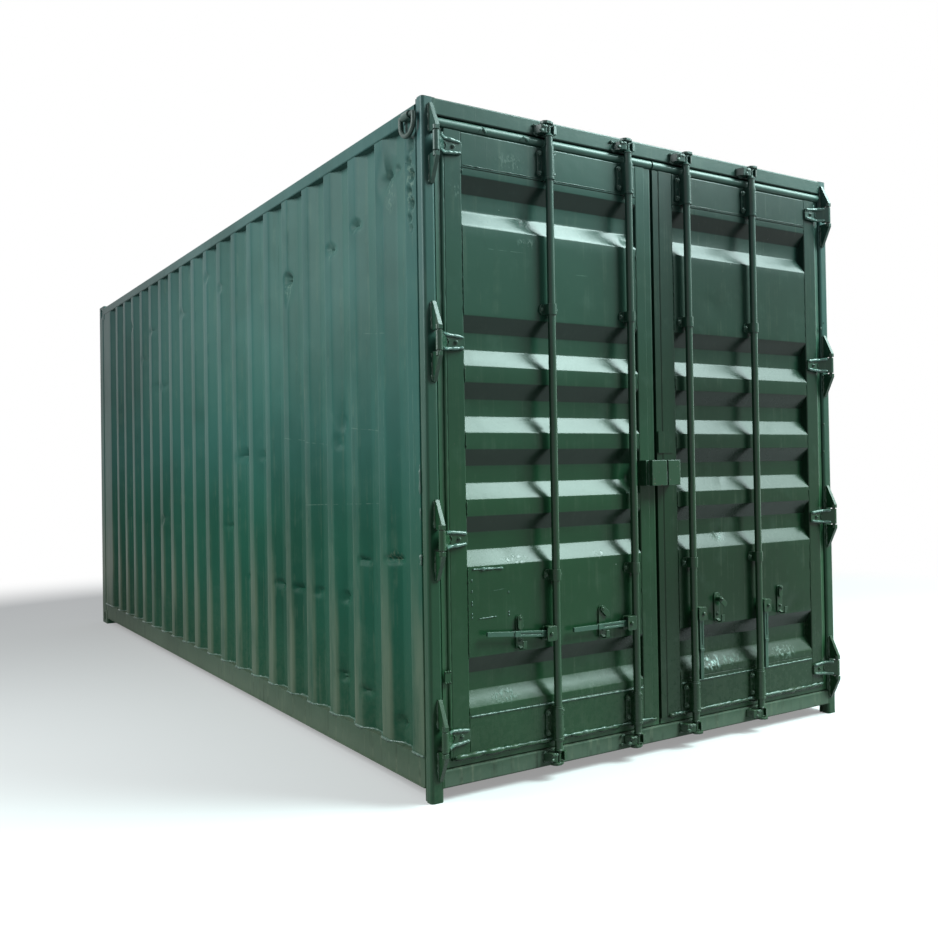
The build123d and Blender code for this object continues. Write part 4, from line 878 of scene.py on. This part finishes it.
# A dent: place along the sheet, height, half length, half height, depth.
LEFT_DENTS = (
    (0.106, 2.64, 0.036, 0.04, 0.03),
    (0.126, 2.575, 0.028, 0.03, 0.026),
    (0.102, 2.515, 0.032, 0.032, 0.034),
    (0.124, 2.455, 0.028, 0.028, 0.028),
    (0.104, 2.4, 0.03, 0.032, 0.032),
    (0.122, 2.345, 0.024, 0.026, 0.022),
    (0.108, 2.3, 0.022, 0.024, 0.016),
    (0.355, 2.57, 0.07, 0.14, 0.034),
    (0.285, 2.59, 0.036, 0.032, 0.018),
    (0.65, 2.425, 0.046, 0.04, 0.025),
    (0.93, 2.37, 0.046, 0.042, 0.027),
    (1.49, 2.32, 0.055, 0.042, 0.042),
    (1.48, 2.27, 0.05, 0.12, 0.016),
    (2.88, 2.56, 0.06, 0.05, 0.014),
    (2.6, 2.45, 0.06, 0.04, 0.012),
    (0.86, 1.545, 0.05, 0.05, 0.012),
    (0.89, 1.455, 0.045, 0.045, 0.01),
    (2.25, 1.415, 0.11, 0.06, 0.026),
    (1.95, 1.41, 0.06, 0.04, 0.014),
    (4.9, 2.5, 0.09, 0.06, 0.016),
    (4.26, 2.39, 0.08, 0.05, 0.014),
    (4.18, 1.955, 0.11, 0.06, 0.022),
    (3.96, 1.952, 0.07, 0.05, 0.014),
    (3.44, 2.41, 0.07, 0.05, 0.014),
    (4.52, 2.195, 0.07, 0.05, 0.012),
    (3.99, 0.985, 0.08, 0.05, 0.014),
    (2.53, 0.995, 0.07, 0.04, 0.014),
    (2.2, 0.712, 0.05, 0.035, 0.016),
    (1.7, 0.718, 0.055, 0.036, 0.022),
    (1.43, 0.722, 0.055, 0.036, 0.02),
    (1.16, 0.726, 0.05, 0.036, 0.018),
    (0.86, 0.73, 0.05, 0.04, 0.018),
    (0.62, 0.918, 0.05, 0.03, 0.02),
    (0.335, 0.942, 0.07, 0.03, 0.024),
    (0.88, 0.36, 0.055, 0.036, 0.02),
    (0.62, 0.335, 0.055, 0.04, 0.016),
    (0.3, 0.26, 0.05, 0.04, 0.018),
)
RIGHT_DENTS = (
    (0.9, 1.2, 0.09, 0.06, 0.014),
    (2.3, 2.1, 0.08, 0.07, 0.018),
    (3.7, 0.8, 0.1, 0.05, 0.012),
    (4.8, 1.7, 0.07, 0.06, 0.014),
    (1.5, 0.52, 0.08, 0.05, 0.012),
    (5.3, 2.45, 0.06, 0.08, 0.016),
)
END_DENTS = (
    (-0.62, 1.3, 0.08, 0.06, 0.014),
    (0.35, 0.55, 0.09, 0.05, 0.016),
    (0.8, 2.05, 0.06, 0.07, 0.012),
)


def folded(breaks, depths, heights, dents):
    """Places along a corrugated sheet, heights, and its depth with the dents pushed in."""
    marks = np.array(dents)
    near_along = marks[:, :1] + marks[:, 2:3] * SPREAD
    near_up = marks[:, 1:2] + marks[:, 3:4] * SPREAD
    along = sample_breaks(breaks, 0.01, near_along, gap=0.08, least=0.008)
    up = sample_breaks(heights, 0.0, near_up, gap=0.12, points=1, least=0.008)
    place, height = np.meshgrid(along, up)
    return place, height, rounded(breaks, depths, 0.008, place) + dented(place, height, dents)


def wall_skin(name, side, dents):
    """A corrugated side: x is the face less the folded depth and the dents' push inwards."""
    low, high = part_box(name)
    breaks, depths = corrugated(FRONT + WALL_FIRST, WALL_WAVES, low[1], high[1])
    moved = [(FRONT + dent[0],) + dent[1:] for dent in dents]
    y, z, depth = folded(breaks, depths, [low[2], high[2]], moved)
    x = side * (CREST_FACE - depth)
    grids = shell(points(x, y, z), SHEET, (-side, 0, 0))
    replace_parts(piece(name.replace("wall", "skin"), grids, "container", side_paint, 34), name)
    outward = (side * 1.0, 0.0, 0.0)
    line = np.linspace(low[1] + SEAM_END, high[1] - SEAM_END, 900)
    foot = side * (CREST_FACE - rounded(breaks, depths, SEAM_BEND, line) + 0.001)
    path = points(foot, line, RAIL_TOP + 0.001)
    seam = bead(path, 0.0062, (side * 0.7, 0.0, 0.71), wobble=0.45, spacing=0.007)
    edge = [(side * POST_JOINT_X, POST_BACK, level) for level in (RAIL_TOP, 2.73)]
    joint = bead(edge, 0.0045, outward, wobble=0.1, spacing=0.012)
    piece(name.replace("wall", "joint"), [joint], "container", side_paint)
    runs = [seam]
    for levels in POST_RUNS:
        run = [(side * POST_RUN_X, POST_BACK + 0.0005, level) for level in levels]
        runs.append(bead(run, 0.005, outward, wobble=0.9, spacing=0.007))
    piece(name.replace("wall", "welds"), runs, "container", weld_highlight_paint)


def end_skin(name, dents):
    """The corrugated closed end: y is the rear face less the folded depth and the dents' push."""
    low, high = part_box(name)
    first = (WALL_CREST - END_WAVES * WAVE) / 2
    breaks, depths = corrugated(first, END_WAVES, low[0], high[0])
    x, z, depth = folded(breaks, depths, [low[2], high[2]], dents)
    y = REAR - WALL_INSET - depth
    grids = shell(points(x, y, z), SHEET, (0, -1, 0))
    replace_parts(piece("end_skin", grids, "container", side_paint, 34), name)
    line = np.linspace(low[0] + SEAM_END, high[0] - SEAM_END, 360)
    foot = REAR - WALL_INSET - rounded(breaks, depths, SEAM_BEND, line) - 0.0025
    path = points(line, foot, RAIL_TOP + 0.0005)
    seam = bead(path, 0.0036, (0.0, 0.5, 0.866), wobble=0.3, spacing=0.006)
    piece("end_weld", [seam], "container", weld_highlight_paint)


wall_skin("side_wall_left", -1, LEFT_DENTS)
wall_skin("side_wall_right", 1, RIGHT_DENTS)
end_skin("end_wall", END_DENTS)


def press_breaks():
    """Heights and depths of a door panel's pressed rows: slope in, floor, slope out at each middle."""
    inner = PRESS_ROWS - 2
    middles = PRESS_MIDDLE + (np.arange(inner) - (inner - 1) / 2) * PRESS_PITCH
    middles = np.r_[RAIL_HIGH + PRESS_END, middles, RAIL_LOW - PRESS_END]
    steps = np.array([-PRESS_HALF, PRESS_SLOPE - PRESS_HALF, PRESS_HALF - PRESS_SLOPE, PRESS_HALF])
    heights = (middles[:, None] + steps).ravel()
    depths = np.tile([0, PRESS_DEEP, PRESS_DEEP, 0], PRESS_ROWS)
    return np.r_[RAIL_HIGH, heights, RAIL_LOW], np.r_[0, depths, 0]


def door_skin(name, side, dents):
    """A pressed door panel: y is the front plane plus the folded depth plus the dents."""
    breaks, depths = press_breaks()
    marks = np.array(dents)
    up = sample_breaks(breaks, 0.006, marks[:, 1:2] + marks[:, 3:4] * SPREAD, gap=0.05)
    ends = sorted((side * FIELD_OUTER, side * FIELD_INNER))
    across = sample_breaks(ends, 0.0, marks[:, :1] + marks[:, 2:3] * SPREAD, gap=0.06, points=1)
    x, z = np.meshgrid(across, up)
    y = FRONT + rounded(breaks, depths, 0.005, z) + dented(x, z, dents)
    grids = shell(points(x, y, z), SHEET, (0, 1, 0))
    leaf = name[: -len("_panel")]
    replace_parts(piece(f"{leaf}_skin", grids, leaf, leaf_paint[leaf], 34), name)


LEFT_PRESS_DENTS = (
    (-0.725, 2.378, 0.045, 0.045, 0.004),
    (-0.165, 2.345, 0.035, 0.035, 0.004),
    (-0.16, 1.27, 0.05, 0.05, 0.007),
    (-0.3, 0.62, 0.1, 0.09, 0.004),
    (-0.8, 1.9, 0.12, 0.1, 0.003),
    (-0.65, 1.475, 0.08, 0.05, 0.003),
    (-0.85, 0.96, 0.07, 0.04, 0.0018),
)
RIGHT_PRESS_DENTS = (
    (0.35, 2.1, 0.12, 0.1, 0.003),
    (0.9, 0.6, 0.1, 0.07, 0.004),
    (0.4, 0.985, 0.05, 0.04, 0.006),
    (0.42, 1.24, 0.06, 0.04, 0.003),
    (0.8, 1.5, 0.08, 0.05, 0.003),
    (0.3, 0.375, 0.06, 0.05, 0.004),
)
door_skin("left_door_panel", -1, LEFT_PRESS_DENTS)
door_skin("right_door_panel", 1, RIGHT_PRESS_DENTS)


# Welds, bolts and rivets
def flat_bead(start, end, radius, wobble, spacing=0.004, sides=6, out=0.0):
    """A straight bead on the door face between two (x, z) places, out metres in front of it."""
    path = [(x, FRONT - out, z) for x, z in (start, end)]
    return bead(path, radius, OUT, wobble, spacing, sides)


def lug_beads(side):
    """Straight weld runs on both faces of each hinge lug, near to far above and below its pin."""
    beads = []
    for level, way, edge in product(HINGE_LEVELS, (-1, 1), (-1, 1)):
        x = side * PIN_X + edge * LUG_HALF
        ends = (x, level + way * LUG_NEAR), (x, level + way * LUG_FAR)
        beads.append(flat_bead(*ends, radius=0.005, wobble=0.6, spacing=0.006))
    return beads


def keeper_beads(side):
    """Beads and drops at both ears of each cam keeper, and lumps of paint at shares of its long ear."""
    beads = []
    for rod_x, long_ear, short_ear in zip(ROD_X, KEEPER_LONG, KEEPER_SHORT):
        for level in KEEPER_MIDDLES:
            for ear, lift in product((-long_ear, short_ear), (-1, 1)):
                x, z = side * rod_x + ear, level + lift * 0.018
                root = (x + math.copysign(0.024, -ear), level + lift * 0.02)
                beads.append(flat_bead((x, z), root, radius=0.0055, wobble=0.6, out=0.001))
                beads.append(lump((x, FRONT - 0.006, z), (0.007, 0.007, 0.006), 0.3))
            for share, lift in KEEPER_LUMPS:
                place = side * rod_x - long_ear + 0.014 + share * (long_ear - 0.034)
                beads.append(lump((place, FRONT - 0.0405, level + lift), (0.0105, 0.0065, 0.0085), 0.4))
    return beads


def hinge_welds(side):
    """For each hinge blade: ribs along its edges, an arc round its eye, a bead at its tip and a bolt.

    A rib runs through the points of BLADE_EDGE. The arc at angle t is eye - r * cos t across and
    level + r * sin t up."""
    beads, ribs, bolts = [], [], []
    for level in HINGE_LEVELS:
        for way in (-1, 1):
            rib = [(side * x, FRONT - out, level + way * lift) for x, out, lift in BLADE_EDGE]
            ribs.append(bead(rib, 0.0076, OUT, wobble=0.16, spacing=0.005, sides=8))
        turn = np.linspace(-np.pi / 2, np.pi / 2, 9)
        x = side * (BLADE_EYE - EYE_ARC * np.cos(turn))
        z = level + EYE_ARC * np.sin(turn)
        arc = points(x, FRONT - BLADE_FACE, z)
        beads.append(bead(arc, 0.0035, OUT, wobble=0.2))
        bolts += bolt((side * BLADE_BOLT, FRONT - BLADE_FACE, level), OUT, 0.007)
        tip = [(side * BLADE_TIP, level + lift) for lift in (-0.024, 0.024)]
        beads.append(flat_bead(*tip, radius=0.0035, wobble=0.5, out=0.001))
    return beads, ribs, bolts


def rail_welds(side):
    """Seams along the rails and the lower lip of a leaf, and at the ends of its folds."""
    beads, bright = [], []
    outer, inner = side * 1.036, side * FIELD_INNER
    seam = LOW_SEAM[side]
    bright.append(flat_bead((outer, seam), (inner, seam - 0.006), radius=0.004, wobble=0.4, spacing=0.005))
    seam = RAIL_LOW + 0.012
    beads.append(flat_bead((outer, seam), (inner, seam), radius=0.0022, wobble=0.4, spacing=0.008))
    foot = DOOR_LOW + 0.01
    lip = (side * 1.12, foot), (side * 0.03, foot - 0.004)
    beads.append(flat_bead(*lip, radius=0.01, wobble=0.45, spacing=0.014, sides=8))
    # A pale bead along the top of the lower lip: a painted highlight.
    worn = (side * 1.118, foot + 0.007), (side * 0.06, foot + 0.003)
    bright.append(flat_bead(*worn, radius=0.0046, wobble=0.85, spacing=0.009, out=0.005))
    breaks = press_breaks()[0]
    for low, high in zip(breaks[::4], breaks[1::4]):
        for x in (side * 1.0375, side * 0.1155):
            ends = (x, low + 0.005), (x, high - 0.005)
            beads.append(flat_bead(*ends, radius=0.0022, wobble=0.7, spacing=0.006))
    return beads, bright


def rod_bolts(side):
    """Bolts and rivets of the sleeves, straps and handle retainers of a leaf's two rods.

    A sleeve's own rivets stand on its round: rod axis + radius * (sin lean, -cos lean)."""
    bolts = []
    lean = math.radians(25)
    axis = (math.sin(lean), -math.cos(lean), 0.0)
    for rod_x in ROD_X:
        for way in (-1, 1):
            x = side * rod_x + way * FLANGE_REACH
            for level in SLEEVE_MIDDLES:
                for lift in (-0.042, 0.042):
                    bolts += bolt((x, FRONT - FLANGE_OUT, level + lift), OUT, 0.0098)
                bolts.append(rivet((x, FRONT - FLANGE_OUT, level), OUT, 0.0055))
            for level in STRAP_MIDDLES:
                bolts += bolt((x, FRONT - FLANGE_OUT, level), OUT, 0.008)
        x, y = side * rod_x + SLEEVE_RADIUS * axis[0], FRONT - ROD_OUT + SLEEVE_RADIUS * axis[1]
        for level in SLEEVE_MIDDLES:
            for lift in (-0.055, 0.04, 0.055):
                bolts.append(rivet((x, y, level + lift), axis, 0.0042))
        hook = side * (rod_x + RETAINER_AT)
        bolts += bolt((hook, FRONT - 0.006, 0.6035), OUT, 0.006)
        out, level = FLAP_RAISED if side > 0 and rod_x == ROD_X[1] else FLAP_FLAT
        pivot = (hook, FRONT - out, level)
        bolts += [rivet(pivot, OUT, 0.0072)] if side < 0 else bolt(pivot, OUT, 0.0075)
    return bolts


def leaf_details(side, leaf):
    """Welds, bolts and rivets of a leaf and its rods, and the fillet by its hinge stile."""
    beads, bright, bolts = hinge_welds(side)
    more_beads, seams = rail_welds(side)
    bolts += rod_bolts(side)
    piece(f"{leaf}_welds", beads + more_beads, leaf, leaf_paint[leaf])
    # The blade ribs, the low seam and the top bead of the lip take the pale weld paint, a painted
    # highlight.
    piece(f"{leaf}_seams", bright + seams, leaf, weld_highlight_paint)
    piece(f"{leaf}_bolts", bolts, leaf, fitting_paint, 40)
    # The fillet takes the paler seal paint, painted light in the shaded corner by the hinge stile.
    x = side * STILE_EDGE
    path = [(x, FRONT + 0.011, z) for z in (DOOR_LOW + 0.006, DOOR_HIGH - 0.006)]
    fillet = bead(path, 0.0098, (side * 0.5, -0.866, 0.0), wobble=0.06, spacing=0.01, sides=10)
    piece(f"{leaf}_seal_fillet", [fillet], leaf, lit_seal_paint)
    for rod_x, rod in zip(ROD_X, ROD_NAMES):
        pivot = (side * (rod_x + PIVOT), FRONT - ROD_OUT - 0.0245, HUB_LEVEL)
        name = leaf.replace("door", rod)
        head = rivet(pivot, OUT, 0.0085)
        piece(f"{name}_rivet", [head], f"{name}_rod_body", fitting_paint)


def patch_welds():
    """Beads and drops round the patch low on the left leaf."""
    beads = [
        flat_bead((-1.018, 0.912), (-0.865, 0.908), radius=0.005, wobble=0.5, spacing=0.005, out=0.001),
        flat_bead((-0.99, 0.709), (-0.9, 0.712), radius=0.0022, wobble=0.6, spacing=0.005, out=0.001),
    ]
    for x, levels in PATCH_DROPS.items():
        beads += [lump((x, FRONT, level), (0.003, 0.003, 0.005)) for level in levels]
    piece("left_patch_welds", beads, "left_door", weld_highlight_paint)


def seal_joints():
    """Joints round the left seal's tube: arcs of its section that drift a little sideways.

    At angle t a joint is x + lean * sin 3t across, r * cos t in front of the tube's middle
    and r * sin t above it."""
    turn = np.radians(np.linspace(-50, 62, 15))
    reach = TUBE_RADIUS - 0.001
    y, z = FRONT + SEAL_FRONT - reach * np.cos(turn), TUBE_LEVEL + reach * np.sin(turn)
    joints = []
    for x, lean in ((-0.944, 0.01), (-0.93, -0.006), (-0.738, 0.012), (-0.722, -0.008)):
        ring = points(x + lean * np.sin(3 * turn), y, z)
        joints.append(bead(ring, 0.0048, OUT, wobble=0.7, spacing=0.005))
    piece("left_seal_joints", joints, "left_door", lit_seal_paint)


def post_corner_welds():
    """Weld metal that closes the posts' inner corners at header and sill."""
    fill = []
    for side in (-1, 1):
        left, right = sorted((side * 1.1715, side * 1.1585))
        for low, high in ((2.7405, 2.8092), (0.0545, 0.1215)):
            fill.append(plate((left, FRONT - 0.0006, low), (right, FRONT + 0.007, high), 0.0005))
    piece("post_corner_welds", fill, "container", body_paint, 40)


def seal_repair():
    """The small plate with six drops of weld on the left leaf's seal."""
    repair = [plate((-1.154, FRONT - 0.004, 0.466), (-1.126, FRONT + 0.001, 0.516))]
    for x, z in product((-1.151, -1.14, -1.129), (0.469, 0.513)):
        repair.append(lump((x, FRONT - 0.003, z), (0.006, 0.004, 0.005)))
    piece("left_seal_repair", repair, "left_door", body_paint, 40)


frame_beads = []
for side in (-1, 1):
    frame_beads += lug_beads(side) + keeper_beads(side)
for x, level, size in POST_DROPS:
    frame_beads.append(lump((x, FRONT, level), (size, size * 0.8, size * 1.3)))
piece("lug_welds", frame_beads, "container", fitting_paint)
leaf_details(-1, "left_door")
leaf_details(1, "right_door")
patch_welds()
seal_joints()
post_corner_welds()
seal_repair()

bpy.context.scene.view_settings.view_transform = "Standard"
